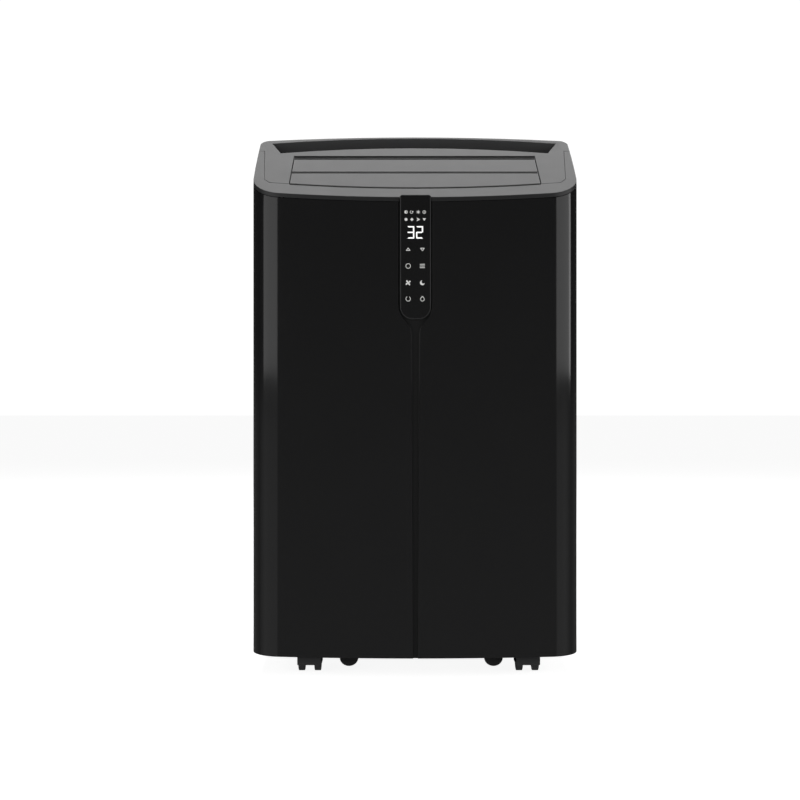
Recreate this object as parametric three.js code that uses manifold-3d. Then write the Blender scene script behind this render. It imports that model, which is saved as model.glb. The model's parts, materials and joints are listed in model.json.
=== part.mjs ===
// Portable air conditioner: a free-standing cabinet on four swivel casters. Room air enters the upper grille,
// crosses the evaporator and leaves through the louvres in the sloping top. A second stream enters the lower
// grille, crosses the condenser and leaves through the round exhaust collar at the back.
// Millimetres. +Z is up, the front faces -Y, +X is on the right of someone facing the front.
// The origin is on the floor, under the centre of the whole machine.
import * as THREE from 'three';
import { mergeVertices } from 'three/addons/utils/BufferGeometryUtils.js';
import Module from 'manifold-3d';

const wasm = await Module();
wasm.setup();

const DEG = Math.PI / 180;

// ---- overall sizes ----
const WIDTH = 470;
const DEPTH = 388;
const HEIGHT = 796;
const FLOOR_GAP = 28;

// ---- cabinet ----
const WALL = 3;
const GAP = 0.3;
const CORNER_FRONT = 46;
const CORNER_REAR = 40;
const FRONT_BOW = 7.2 * DEG;
const SIDE_BOW = 2.6 * DEG;
const WIDEST_Y = -30;
const SPLIT_BACK = 66;
const SLOPE = 32.7 * DEG;
const RIDGE_AFTER_RECESS = 38;
const CROWN = 8;
const SHOULDER_R = 14;
const SHOULDER_TURN = 60 * DEG;
const TOP_THICK = 5;
const COLLAR_OUT = 12;
const LENS_PROUD = 1.5;

// ---- control lens, centre groove ----
const LENS_WIDTH = 43;
const LENS_LENGTH = 173;
const LENS_OVER_TRIM = 3;
const LENS_THICK = 3.5;
const LENS_CORNER = 17;
const GROOVE_TOP = 12.5;
const GROOVE_FOOT = 7.5;
const GROOVE_DEPTH = 4;
const TEARDROP = 17;

// ---- top outlet ----
const LOUVRE_SIDE = 56;
const TRIM_FRONT = 28;
const TRIM_BOW = 12;
const TRIM_ARM = 16;
const ARM_END = 145;
const LOUVRE_SPLIT = 77;
const LOUVRE_REAR = 122.8;
const LOUVRE_SLIT = 1.8;
const LOUVRE_CLEAR = 1.3;
const LOUVRE_REAR_SLIT = 7;
const LOUVRE_FRONT_SLIT = 1.6;
const BLADE_THICK = 3;
const PIVOT_DEPTH = 9;
const PIN_R = 2.5;
const CRANK = 14;
const ARM_HALF = 3.2;
const DUCT_DEPTH = 80;
const VANES = 5;
const VANE_LONG = 56;
const VANE_TALL = 29;
const VANE_TOP = 43;

// ---- hand recess behind the louvres ----
const RECESS_AFTER_LOUVRE = 32.2;
const RECESS_BOW = 17;
const RECESS_LIP = 5;
const RECESS_FLOOR = 44;
const RECESS_IN_FRONT = 34;
const RECESS_IN_REAR = 18;

// ---- chambers and machinery ----
const BASE_THICK = 4;
const BASE_RIM = 14;
const EXHAUST_ROOM = 9.2;
const FAN_SIDE_ROOM = 13;
const TRAY_THICK = 3;
const TRAY_RIM = 8;
const COIL_THICK = 44;
const COIL_MARGIN = 42;
const FILTER_THICK = 9;
const EVAP_WHEEL_R = 80;
const EVAP_SCROLL_DEPTH = 100;
const COND_WHEEL_R = 78;
const COND_SCROLL_DEPTH = 80;
const SCROLL_CLEAR = 7;
const SCROLL_GROWTH = 0.43;
const TONGUE = 65 * DEG;
const MOTOR_R = 44;
const MOTOR_LONG = 62;
const SHAFT_R = 4;
const EXHAUST_R = 60;
const COLLAR_WALL = 4;
const COMPRESSOR_R = 58;
const COMPRESSOR_X = -120;
const COMPRESSOR_TALL = 222;
const PIPE_R = 4;

// ---- casters ----
const CASTER_FRONT_Y = 69;
const CASTER_REAR_Y = 60;
const CASTER_IN = 79;
const CASTER_SHIFT = 5;
const CASTER_TRAIL = 12;
const WHEEL_R = 19;
const WHEEL_WIDE = 8.5;
const WHEEL_INNER = 7.4;
const HOOD_WIDE = 34;
const HOOD_R = 21.5;
const HOOD_GAP = 7;
const WELL_R = 36;
const WELL_TOP = 47;
const STEM_R = 5.5;
const STOP_FOOT_X = 104;
const STOP_FOOT_SHIFT = 9;
const STOP_FOOT_R = 13.5;
const STOP_FOOT_GAP = 6;

// ---- places that follow from the sizes ----
const FRONT = -DEPTH / 2 + LENS_PROUD;
const REAR = DEPTH / 2 - COLLAR_OUT;
const RECESS_FRONT = LOUVRE_REAR + RECESS_AFTER_LOUVRE;
const SLOPE_RUN = RECESS_FRONT + RIDGE_AFTER_RECESS;
const FRONT_TOP = HEIGHT - SLOPE_RUN * Math.tan(SLOPE);
const INNER_REAR = REAR - WALL;
const INNER_HALF = WIDTH / 2 - WALL - 3;
const BASE_TOP = FLOOR_GAP + 2 + BASE_THICK;
const COIL_REAR = INNER_REAR - FILTER_THICK - 8;

// A fan's place and its scroll, which grows round the wheel from the tongue to the discharge.
function fanLayout(x, wheelR, y0, depth, floor) {
  const r0 = wheelR + SCROLL_CLEAR;
  const r1 = r0 * (1 + SCROLL_GROWTH);
  const growth = (r1 - r0) / (2 * Math.PI - TONGUE);
  const z = floor + r0 + growth * (1.5 * Math.PI - TONGUE) + WALL + 4;
  const top = z + r0 + growth * (Math.PI / 2 - TONGUE) + WALL + 4;
  return { x, z, top, r0, r1, y0, depth, wheelR, left: x + r0 * Math.cos(TONGUE), right: x + r1 };
}

const condReach = (COND_WHEEL_R + SCROLL_CLEAR) * (1 + SCROLL_GROWTH);
const condX = WIDTH / 2 - CORNER_REAR - FAN_SIDE_ROOM - condReach;
const cond = fanLayout(condX, COND_WHEEL_R, FRONT + 159, COND_SCROLL_DEPTH, BASE_TOP);
const TRAY_Z = cond.top + 2 * (EXHAUST_R + EXHAUST_ROOM);
const TRAY_TOP = TRAY_Z + TRAY_THICK;
const evap = fanLayout(-EVAP_WHEEL_R, EVAP_WHEEL_R, FRONT + 122, EVAP_SCROLL_DEPTH, TRAY_TOP);

// ---------------------------------------------------------------- shape helpers

// A closed three.js geometry as a solid that can be joined and cut.
function solid(geometry) {
  geometry.deleteAttribute('normal');
  geometry.deleteAttribute('uv');
  const merged = mergeVertices(geometry, 1e-4);
  const corners = merged.index.array;
  const kept = [];
  for (let i = 0; i < corners.length; i += 3) {
    const [a, b, c] = [corners[i], corners[i + 1], corners[i + 2]];
    if (a !== b && b !== c && c !== a) {
      kept.push(a, b, c);
    }
  }
  const vertProperties = new Float32Array(merged.attributes.position.array);
  const triVerts = new Uint32Array(kept);
  return new wasm.Manifold(new wasm.Mesh({ numProp: 3, vertProperties, triVerts }));
}

// A solid as a named mesh with its own material.
function mesh(name, shape, color, roughness, metalness = 0) {
  const out = shape.getMesh();
  const geometry = new THREE.BufferGeometry();
  geometry.setAttribute('position', new THREE.BufferAttribute(out.vertProperties, 3));
  geometry.setIndex(new THREE.BufferAttribute(out.triVerts, 1));
  geometry.computeVertexNormals();
  const material = new THREE.MeshStandardMaterial({ color, roughness, metalness });
  const result = new THREE.Mesh(geometry, material);
  result.name = name;
  return result;
}

function outline(points) {
  return new THREE.Shape(points.map(([x, y]) => new THREE.Vector2(x, y)));
}

// Extrusions of a flat outline: up Z, along Y, along X, and out of the sloping top.
function alongZ(points, z0, z1) {
  const geometry = new THREE.ExtrudeGeometry(outline(points), { depth: z1 - z0, bevelEnabled: false });
  geometry.translate(0, 0, z0);
  return solid(geometry);
}

function alongY(points, y0, y1) {
  const geometry = new THREE.ExtrudeGeometry(outline(points), { depth: y1 - y0, bevelEnabled: false });
  geometry.rotateX(Math.PI / 2);
  geometry.translate(0, y1, 0);
  return solid(geometry);
}

function alongX(points, x0, x1) {
  const geometry = new THREE.ExtrudeGeometry(outline(points), { depth: x1 - x0, bevelEnabled: false });
  const turn = new THREE.Matrix4().makeBasis(
    new THREE.Vector3(0, 1, 0), new THREE.Vector3(0, 0, 1), new THREE.Vector3(1, 0, 0));
  geometry.applyMatrix4(turn);
  geometry.translate(x0, 0, 0);
  return solid(geometry);
}

function box(x0, x1, y0, y1, z0, z1) {
  const geometry = new THREE.BoxGeometry(x1 - x0, y1 - y0, z1 - z0);
  geometry.translate((x0 + x1) / 2, (y0 + y1) / 2, (z0 + z1) / 2);
  return solid(geometry);
}

// Round bars along each axis.
function barZ(x, y, z0, z1, r, sides = 32, rTop = r) {
  const geometry = new THREE.CylinderGeometry(rTop, r, z1 - z0, sides);
  geometry.rotateX(Math.PI / 2);
  geometry.translate(x, y, (z0 + z1) / 2);
  return solid(geometry);
}

function barY(x, z, y0, y1, r, sides = 32) {
  const geometry = new THREE.CylinderGeometry(r, r, y1 - y0, sides);
  geometry.translate(x, (y0 + y1) / 2, z);
  return solid(geometry);
}

function barX(y, z, x0, x1, r, sides = 24) {
  const geometry = new THREE.CylinderGeometry(r, r, x1 - x0, sides);
  geometry.rotateZ(Math.PI / 2);
  geometry.translate((x0 + x1) / 2, y, z);
  return solid(geometry);
}

// A solid of revolution about a vertical axis, from its [radius, height] profile.
function turned(profile, x, y, sides = 28) {
  const geometry = new THREE.LatheGeometry(profile.map(([r, z]) => new THREE.Vector2(r, z)), sides);
  geometry.rotateX(Math.PI / 2);
  geometry.translate(x, y, 0);
  return solid(geometry);
}

// The frame of the sloping top: u across, v up the slope from the front edge, n out of the surface.
const slopeFrame = new THREE.Matrix4().makeBasis(
  new THREE.Vector3(1, 0, 0),
  new THREE.Vector3(0, Math.cos(SLOPE), Math.sin(SLOPE)),
  new THREE.Vector3(0, -Math.sin(SLOPE), Math.cos(SLOPE)),
).setPosition(0, FRONT, FRONT_TOP);

function onSlope(shape) {
  return shape.transform(slopeFrame.toArray());
}

// A distance measured straight back from the front, as a distance up the slope.
function upSlope(back) {
  return back / Math.cos(SLOPE);
}

// A block whose foot and head are two different quadrilaterals, each as four corners in order.
function prismoid(foot, head) {
  const geometry = new THREE.BoxGeometry(2, 2, 2);
  const place = geometry.attributes.position;
  for (let i = 0; i < place.count; i += 1) {
    const ring = place.getZ(i) < 0 ? foot : head;
    const corner = (place.getY(i) < 0 ? 0 : 2) + ((place.getX(i) < 0) === (place.getY(i) < 0) ? 0 : 1);
    place.setXYZ(i, ...ring[corner]);
  }
  return solid(geometry);
}

function union(shapes) {
  return shapes.reduce((whole, shape) => whole.add(shape));
}

function cut(shape, tools) {
  return tools.reduce((rest, tool) => rest.subtract(tool), shape);
}

// ---------------------------------------------------------------- cabinet outline

// A quarter of the plan, from the widest point of the side to the middle of the front or rear wall.
function planQuarter(reach, corner, bow, inset) {
  const half = WIDTH / 2 - inset;
  const far = reach - inset;
  const r = corner - inset;
  const side = Math.tan(SIDE_BOW / 2);
  const wall = Math.tan(bow / 2);
  const cx = (half - r - side * (far - r)) / (1 - side * wall);
  const cd = far - r - wall * cx;
  const sideR = cd / Math.sin(SIDE_BOW) + r;
  const points = [];
  for (let i = 0; i < 3; i += 1) {
    const t = SIDE_BOW * i / 3;
    points.push([half - sideR * (1 - Math.cos(t)), sideR * Math.sin(t)]);
  }
  for (let i = 0; i <= 8; i += 1) {
    const t = SIDE_BOW + (Math.PI / 2 - bow - SIDE_BOW) * i / 8;
    points.push([cx + r * Math.cos(t), cd + r * Math.sin(t)]);
  }
  if (bow === 0) {
    points.push([0, far]);
    return points;
  }
  const wallR = cx / Math.sin(bow) + r;
  for (let i = 1; i <= 6; i += 1) {
    const t = bow * (6 - i) / 6;
    points.push([wallR * Math.sin(t), far - wallR * (1 - Math.cos(t))]);
  }
  return points;
}

function plan(inset) {
  const fore = planQuarter(WIDEST_Y - FRONT, CORNER_FRONT, FRONT_BOW, inset);
  const aft = planQuarter(REAR - WIDEST_Y, CORNER_REAR, 0, inset);
  const rightFront = fore.map(([x, d]) => [x, WIDEST_Y - d]).reverse();
  const rightRear = aft.map(([x, d]) => [x, WIDEST_Y + d]).slice(1);
  const leftRear = aft.map(([x, d]) => [-x, WIDEST_Y + d]).reverse().slice(1);
  const leftFront = fore.map(([x, d]) => [-x, WIDEST_Y - d]).slice(1, -1);
  return [...rightFront, ...rightRear, ...leftRear, ...leftFront];
}

// Everything above the cabinet's top, once that top is lowered by a thickness.
function aboveTop(lower) {
  const reach = WIDTH;
  const slope = onSlope(box(-reach, reach, -reach, 2 * reach, -lower, reach));
  const half = WIDTH / 2;
  const shoulder = half - SHOULDER_R * Math.sin(SHOULDER_TURN);
  const right = [];
  for (let i = 0; i <= 5; i += 1) {
    const x = shoulder * i / 5;
    right.push([x, HEIGHT - lower - CROWN * (x / shoulder) ** 2]);
  }
  for (let i = 1; i <= 5; i += 1) {
    const t = SHOULDER_TURN * i / 5;
    const x = shoulder + SHOULDER_R * Math.sin(t);
    right.push([x, HEIGHT - lower - CROWN - SHOULDER_R * (1 - Math.cos(t))]);
  }
  right.push([reach, right[right.length - 1][1]]);
  const left = right.slice(1).map(([x, z]) => [-x, z]).reverse();
  const deck = alongY([...left, ...right, [reach, HEIGHT + reach], [-reach, HEIGHT + reach]], -DEPTH, DEPTH);
  return slope.add(deck);
}

function cabinet(inset, lower) {
  return cut(alongZ(plan(inset), FLOOR_GAP, HEIGHT + 1), [aboveTop(lower)]);
}

const walls = cabinet(0, TOP_THICK + GAP)
  .subtract(alongZ(plan(WALL), FLOOR_GAP - 1, HEIGHT + 1));
const splitY = FRONT + SPLIT_BACK;
const foreRegion = box(-WIDTH, WIDTH, -DEPTH, splitY - GAP / 2, -1, HEIGHT + 1);
const aftRegion = box(-WIDTH, WIDTH, splitY + GAP / 2, DEPTH, -1, HEIGHT + 1);

// ---------------------------------------------------------------- front panel and control lens

const lensTop = FRONT_TOP + LENS_OVER_TRIM;
const lensFoot = lensTop - LENS_LENGTH;

// The lens outline: square at the top, with two large round corners at the foot.
function lensOutline(grow) {
  const half = LENS_WIDTH / 2 + grow;
  const r = LENS_CORNER + grow;
  const points = [[half, lensTop + grow], [-half, lensTop + grow]];
  for (const side of [-1, 1]) {
    const start = side < 0 ? Math.PI : 1.5 * Math.PI;
    for (let i = 0; i <= 6; i += 1) {
      const t = start + Math.PI * i / 12;
      points.push([side * (half - r) + r * Math.cos(t), lensFoot + LENS_CORNER + r * Math.sin(t)]);
    }
  }
  return points;
}

const lensBack = FRONT - LENS_PROUD + LENS_THICK;
const lensPocket = alongY(lensOutline(GAP), FRONT - 20, lensBack + GAP);

function frontPanel() {
  const backing = GROOVE_DEPTH + 5;
  const windowHalf = LENS_WIDTH / 2 - 5;
  const grooveTop = lensFoot - TEARDROP;
  const groove = alongY([
    [-GROOVE_FOOT / 2, FLOOR_GAP - 1], [GROOVE_FOOT / 2, FLOOR_GAP - 1],
    [GROOVE_TOP / 2, grooveTop], [LENS_WIDTH / 2 - 4, lensFoot + 6],
    [-LENS_WIDTH / 2 + 4, lensFoot + 6], [-GROOVE_TOP / 2, grooveTop],
  ], FRONT - 20, FRONT + GROOVE_DEPTH);
  const ribHalf = GROOVE_TOP / 2 + 5;
  const rib = box(-ribHalf, ribHalf, FRONT + 1.5, FRONT + backing, FLOOR_GAP, lensFoot);
  const pad = box(-LENS_WIDTH / 2 - 5, LENS_WIDTH / 2 + 5, FRONT + 1.5, FRONT + backing, lensFoot - TEARDROP,
    FRONT_TOP - TOP_THICK - 4);
  const window = box(-windowHalf, windowHalf, FRONT - 1, FRONT + backing + 1, lensFoot + 14, FRONT_TOP - 14);
  const shell = union([walls.intersect(foreRegion), rib, pad]);
  return mesh('front_panel', cut(shell, [groove, lensPocket, window]), 0x111111, 0.12);
}

function controlLens() {
  const shape = alongY(lensOutline(0), FRONT - LENS_PROUD, lensBack);
  return mesh('control_lens', shape, 0x050505, 0.05);
}

function displayBoard() {
  const back = FRONT + GROOVE_DEPTH + 5 + GAP;
  const board = box(-18, 18, back, back + 1.6, lensFoot + 10, FRONT_TOP - 10);
  const digits = box(-12, 12, back - 6, back + 0.5, FRONT_TOP - 55, FRONT_TOP - 35);
  return mesh('display_board', board.add(digits), 0x1c4a2a, 0.6);
}

// ---------------------------------------------------------------- top trim and top cover

const seamHalfFront = WIDTH / 2 - 2.5 - TRIM_ARM;
const seamHalfRear = WIDTH / 2 - 9;

// The plan region of the top cover; the rest of the top is the U-shaped trim.
function coverRegion(grow) {
  const points = [];
  for (let i = 0; i <= 12; i += 1) {
    const x = (seamHalfFront - 8) * (i / 6 - 1);
    const back = TRIM_FRONT + TRIM_BOW * (x / (WIDTH / 2 - LOUVRE_SIDE)) ** 2;
    points.push([x * (1 + grow / seamHalfFront), FRONT + back - grow]);
  }
  const cornerY = FRONT + TRIM_FRONT + TRIM_BOW * 1.35 + 10;
  const armEnd = FRONT + ARM_END - grow;
  points.push([seamHalfFront + grow, cornerY], [seamHalfRear + grow, armEnd], [WIDTH, armEnd]);
  points.push([WIDTH, DEPTH], [-WIDTH, DEPTH], [-WIDTH, armEnd]);
  points.push([-seamHalfRear - grow, armEnd], [-seamHalfFront - grow, cornerY]);
  return alongZ(points, 0, 2 * HEIGHT);
}

// Everything below the underside of the top layer.
function belowTop() {
  return cut(box(-WIDTH, WIDTH, -DEPTH, DEPTH, 0, HEIGHT + 2), [aboveTop(TOP_THICK)]);
}

const topLayer = cabinet(0, 0).subtract(belowTop());

const louvreHalf = WIDTH / 2 - LOUVRE_SIDE;
const louvreRearV = upSlope(LOUVRE_REAR) + LOUVRE_REAR_SLIT;

function topTrim() {
  return mesh('top_trim', cut(topLayer, [coverRegion(GAP), lensPocket]), 0x2a2a2a, 0.3);
}

// The hand recess: a bowed trough along the ridge, open at the top.
function recessTrough(grow, floor) {
  const front = [];
  const rear = [];
  const run = SLOPE_RUN - RECESS_LIP;
  for (let i = 0; i <= 8; i += 1) {
    const s = i / 4 - 1;
    const bow = RECESS_BOW * s * s;
    front.push([s * (WIDTH / 2 - RECESS_IN_FRONT + grow), FRONT + RECESS_FRONT - bow - grow]);
    rear.push([-s * (WIDTH / 2 - RECESS_IN_REAR + grow), FRONT + run - bow + grow]);
  }
  return alongZ([...front, ...rear], floor, HEIGHT + 20);
}

function topCover() {
  const pan = recessTrough(2.5, HEIGHT - RECESS_FLOOR - 2.5).subtract(aboveTop(1));
  const openHalf = louvreHalf + LOUVRE_CLEAR;
  const opening = onSlope(box(-openHalf, openHalf, 0, louvreRearV, -40, 20));
  const plate = cut(topLayer.intersect(coverRegion(0)), [opening]);
  const shape = plate.add(pan).subtract(recessTrough(0, HEIGHT - RECESS_FLOOR));
  return mesh('top_cover', shape, 0x2a2a2a, 0.3);
}

// ---------------------------------------------------------------- outlet: louvres, duct, vanes

const bladeSplitV = upSlope(LOUVRE_SPLIT);
const frontBladeV = [upSlope(TRIM_FRONT) + LOUVRE_FRONT_SLIT, bladeSplitV - LOUVRE_SLIT / 2];
const rearBladeV = [bladeSplitV + LOUVRE_SLIT / 2, upSlope(LOUVRE_REAR)];
const frontPivotV = (frontBladeV[0] + frontBladeV[1]) / 2;
const rearPivotV = (rearBladeV[0] + rearBladeV[1]) / 2;
const ductHalf = louvreHalf + 2;
const crankU = ductHalf + WALL + 5;
const linkU = crankU + 4;

// A blade plate with a spine, pivot pins through the duct's ends and a crank outside its left end.
function louvreBlade(name, points, pivotV) {
  const plate = alongZ(points, -BLADE_THICK, 0);
  const spineDepth = PIVOT_DEPTH + PIN_R;
  const spine = box(-louvreHalf + 4, louvreHalf - 4, pivotV - 3, pivotV + 3, -spineDepth, -1);
  const pin = barX(pivotV, -PIVOT_DEPTH, -crankU - 1, ductHalf + WALL + 2, PIN_R, 16);
  const armFoot = -PIVOT_DEPTH - CRANK - ARM_HALF;
  const armHead = -PIVOT_DEPTH + ARM_HALF / 2;
  const arm = box(-crankU - 1.5, -crankU + 1.5, pivotV - ARM_HALF, pivotV + ARM_HALF, armFoot, armHead);
  const crankPin = barX(pivotV, -PIVOT_DEPTH - CRANK, -linkU - 2.5, -crankU, 2, 12);
  const shape = union([plate, spine, pin, arm, crankPin]);
  return mesh(name, onSlope(shape), 0x303030, 0.3);
}

function frontBlade() {
  const points = [];
  for (let i = 0; i <= 10; i += 1) {
    const x = louvreHalf * (i / 5 - 1);
    points.push([x, frontBladeV[0] + upSlope(TRIM_BOW) * (x / louvreHalf) ** 2]);
  }
  points.push([louvreHalf, frontBladeV[1]], [-louvreHalf, frontBladeV[1]]);
  return louvreBlade('louvre_blade_front', points, frontPivotV);
}

function rearBlade() {
  const [v0, v1] = rearBladeV;
  const points = [[-louvreHalf, v0], [louvreHalf, v0], [louvreHalf, v1], [-louvreHalf, v1]];
  return louvreBlade('louvre_blade_rear', points, rearPivotV);
}

function louvreLink() {
  const n = -PIVOT_DEPTH - CRANK;
  const bar = box(-linkU - 1.5, -linkU + 1.5, frontPivotV - 5, rearPivotV + 5, n - 4, n + 4);
  const holes = [frontPivotV, rearPivotV].map((v) => barX(v, n, -linkU - 3, -linkU + 3, 2.4, 12));
  return mesh('louvre_link', onSlope(cut(bar, holes)), 0x8a8a86, 0.6);
}

function louvreMotor() {
  const u = ductHalf + WALL + 3;
  const can = barX(frontPivotV, -PIVOT_DEPTH - 4, u, u + 17, 12, 20);
  const trimmed = can.subtract(box(u - 1, u + 30, 0, 200, -TOP_THICK - 1, 30));
  const ears = box(u, u + 2, frontPivotV - 17, frontPivotV + 17, -PIVOT_DEPTH - 9, -PIVOT_DEPTH + 1);
  return mesh('louvre_motor', onSlope(trimmed.add(ears)), 0xb8b8b4, 0.35, 0.8);
}

function outletDuct() {
  const v0 = upSlope(TRIM_FRONT) - 4;
  const v1 = louvreRearV;
  const head = -TOP_THICK - GAP;
  const outer = ductHalf + WALL;
  const frame = onSlope(box(-outer, outer, v0 - WALL, v1 + WALL, -DUCT_DEPTH, head));
  const bore = onSlope(box(-ductHalf, ductHalf, v0, v1, -DUCT_DEPTH - 1, 0));
  const ring = (grow, low) => [[-1, -1], [1, -1], [1, 1], [-1, 1]].map(([a, b]) => {
    const at = new THREE.Vector3(a * (ductHalf + grow), b < 0 ? v0 - grow : v1 + grow, low);
    return at.applyMatrix4(slopeFrame).toArray();
  });
  const mouth = (grow, z) => [[-1, -1], [1, -1], [1, 1], [-1, 1]].map(([a, b]) => [
    a < 0 ? evap.left - grow : evap.right + grow,
    b < 0 ? evap.y0 - grow : evap.y0 + evap.depth - 2 * WALL + grow, z]);
  const z = evap.top + GAP;
  const funnel = prismoid(mouth(WALL, z), ring(WALL, -DUCT_DEPTH + 0.2));
  const throat = prismoid(mouth(0, z - 2), ring(0, -DUCT_DEPTH + 1));
  const railHalf = ductHalf + 1;
  const railFoot = -DUCT_DEPTH + 0.5;
  const rail = onSlope(box(-railHalf, railHalf, vaneV - 5, vaneV + 5, railFoot, railFoot + 3.5));
  const holes = [];
  for (const v of [frontPivotV, rearPivotV]) {
    holes.push(onSlope(barX(v, -PIVOT_DEPTH, -ductHalf - 5, ductHalf + 5, PIN_R + 0.4, 16)));
  }
  for (let i = 0; i < VANES; i += 1) {
    holes.push(onSlope(barZ(vaneU(i), vaneV, -DUCT_DEPTH - 2, -DUCT_DEPTH + 6, 2.4, 12)));
  }
  const shape = cut(cut(frame.add(funnel), [bore, throat]).add(rail), holes);
  return mesh('outlet_duct', shape, 0x3a3a3a, 0.6);
}

const vaneV = bladeSplitV;
function vaneU(i) {
  return (2 * louvreHalf / VANES) * (i - (VANES - 1) / 2);
}
const vaneCrank = 20;

function vane(i) {
  const u = vaneU(i);
  const top = -VANE_TOP;
  const foot = top - VANE_TALL;
  const blade = box(u - 1, u + 1, vaneV - VANE_LONG / 2, vaneV + VANE_LONG / 2, foot, top);
  const hub = barZ(u, vaneV, foot, top, 3, 12);
  const pin = barZ(u, vaneV, -DUCT_DEPTH + 0.2, foot + 1, 2, 12);
  const crank = barZ(u, vaneV - vaneCrank, top - 6, top + 4.5, 1.8, 10);
  return mesh(`vane_${i + 1}`, onSlope(union([blade, hub, pin, crank])), 0x2c2c2c, 0.5);
}

function vaneLink() {
  const v = vaneV - vaneCrank;
  const reach = vaneU(VANES - 1) + 6;
  const bar = box(-reach, reach, v - 4, v + 4, -VANE_TOP + 0.8, -VANE_TOP + 3.8);
  const holes = [];
  for (let i = 0; i < VANES; i += 1) {
    holes.push(barZ(vaneU(i), v, -VANE_TOP, -VANE_TOP + 5, 2.2, 10));
  }
  return mesh('vane_link', onSlope(cut(bar, holes)), 0x2c2c2c, 0.5);
}

// ---------------------------------------------------------------- fans

// A scroll housing: a growing spiral round the wheel and a straight discharge upwards on its right.
function scroll(name, fan) {
  const body = (grow, y0, y1, head) => {
    const points = [];
    for (let i = 0; i <= 24; i += 1) {
      const t = TONGUE + (2 * Math.PI - TONGUE) * i / 24;
      const r = fan.r0 + (fan.r1 - fan.r0) * i / 24 + grow;
      points.push([fan.x + r * Math.cos(t), fan.z + r * Math.sin(t)]);
    }
    const spiral = alongY(points, y0, y1);
    const chimney = box(fan.left - grow, fan.right + grow, y0, y1, fan.z, head);
    return spiral.add(chimney);
  };
  const y1 = fan.y0 + fan.depth;
  const shell = body(WALL, fan.y0 - WALL, y1 - WALL, fan.top);
  const hollow = body(0, fan.y0, y1 - 2 * WALL, fan.top + 1);
  const eye = barY(fan.x, fan.z, y1 - 3 * WALL, y1 + 1, fan.wheelR - 16, 36);
  const shaftHole = barY(fan.x, fan.z, fan.y0 - 2 * WALL, fan.y0 + 1, SHAFT_R + 8, 20);
  return mesh(name, cut(shell, [hollow, eye, shaftHole]), 0xd9d9d6, 0.7);
}

// A blower wheel: back disc, hub, a ring of blades and a front rim.
function blowerWheel(name, fan, blades) {
  const y0 = fan.y0 + 6;
  const y1 = fan.y0 + fan.depth - 2 * WALL - 6;
  const r = fan.wheelR;
  const disc = barY(fan.x, fan.z, y0, y0 + 3, r, 32);
  const hub = barY(fan.x, fan.z, y0, y0 + 26, 13, 12);
  const rim = barY(fan.x, fan.z, y1 - 4, y1, r, 32).subtract(barY(fan.x, fan.z, y1 - 5, y1 + 1, r - 14, 32));
  const pieces = [disc, hub, rim];
  for (let i = 0; i < blades; i += 1) {
    const geometry = new THREE.BoxGeometry(13, y1 - y0 - 3, 1.6);
    geometry.rotateY(30 * DEG);
    geometry.translate(r - 7.5, (y0 + y1) / 2, 0);
    geometry.rotateY(2 * Math.PI * i / blades);
    geometry.translate(fan.x, 0, fan.z);
    pieces.push(solid(geometry));
  }
  const bore = barY(fan.x, fan.z, y0 - 1, y0 + 30, SHAFT_R + 0.5, 12);
  return mesh(name, union(pieces).subtract(bore), 0x3b3b3e, 0.6);
}

function fanMotor(name, fan) {
  const y1 = fan.y0 - WALL - GAP;
  const can = barY(fan.x, fan.z, y1 - MOTOR_LONG, y1 - 2, MOTOR_R, 28);
  const flange = box(fan.x - MOTOR_R - 6, fan.x + MOTOR_R + 6, y1 - 4, y1, fan.z - 12, fan.z + 12);
  const shaft = barY(fan.x, fan.z, y1 - 3, fan.y0 + 28, SHAFT_R, 16);
  return mesh(name, union([can, flange, shaft]), 0x6d7074, 0.4, 0.7);
}

// ---------------------------------------------------------------- exhaust

const exhaustX = cond.right - EXHAUST_R - 3;
const exhaustZ = (cond.top + TRAY_Z) / 2;

function exhaustDuct() {
  const half = EXHAUST_R + 2;
  const y0 = cond.y0;
  const y1 = INNER_REAR - GAP;
  const z0 = cond.top + GAP;
  const z1 = TRAY_Z - GAP;
  const x0 = exhaustX - half;
  const x1 = cond.right;
  const shell = box(x0 - WALL, x1 + WALL, y0 - WALL, y1, z0, z1);
  const inside = box(x0, x1, y0, y1 + 1, z0 + WALL, z1 - WALL);
  const mouth = box(cond.left, cond.right, y0, y0 + cond.depth - 2 * WALL, z0 - 1, z0 + WALL + 1);
  return mesh('exhaust_duct', cut(shell, [inside, mouth]), 0x3a3a3a, 0.6);
}

function exhaustCollar() {
  const r = EXHAUST_R + COLLAR_WALL;
  const tube = barY(exhaustX, exhaustZ, INNER_REAR + GAP, DEPTH / 2, r, 32);
  const flange = barY(exhaustX, exhaustZ, REAR + GAP, REAR + 3, r + 7, 32);
  const bore = barY(exhaustX, exhaustZ, INNER_REAR - 5, DEPTH, EXHAUST_R, 32);
  return mesh('exhaust_collar', cut(tube.add(flange), [bore]), 0x161616, 0.45);
}

// ---------------------------------------------------------------- rear shell, grilles, filters

const windowHalf = WIDTH / 2 - CORNER_REAR - 10;
const upperWindow = [TRAY_TOP + 34, FRONT_TOP + 16];
const lowerWindow = [BASE_TOP + 28, cond.top - 14];
const drainX = -exhaustX;
const drainZ = [TRAY_Z - 40, FLOOR_GAP + 17];
const glandZ = TRAY_Z - 88;
const gripY = [WIDEST_Y - 8, WIDEST_Y + 92];
const gripZ = [FRONT_TOP - 92, FRONT_TOP - 58];

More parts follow.
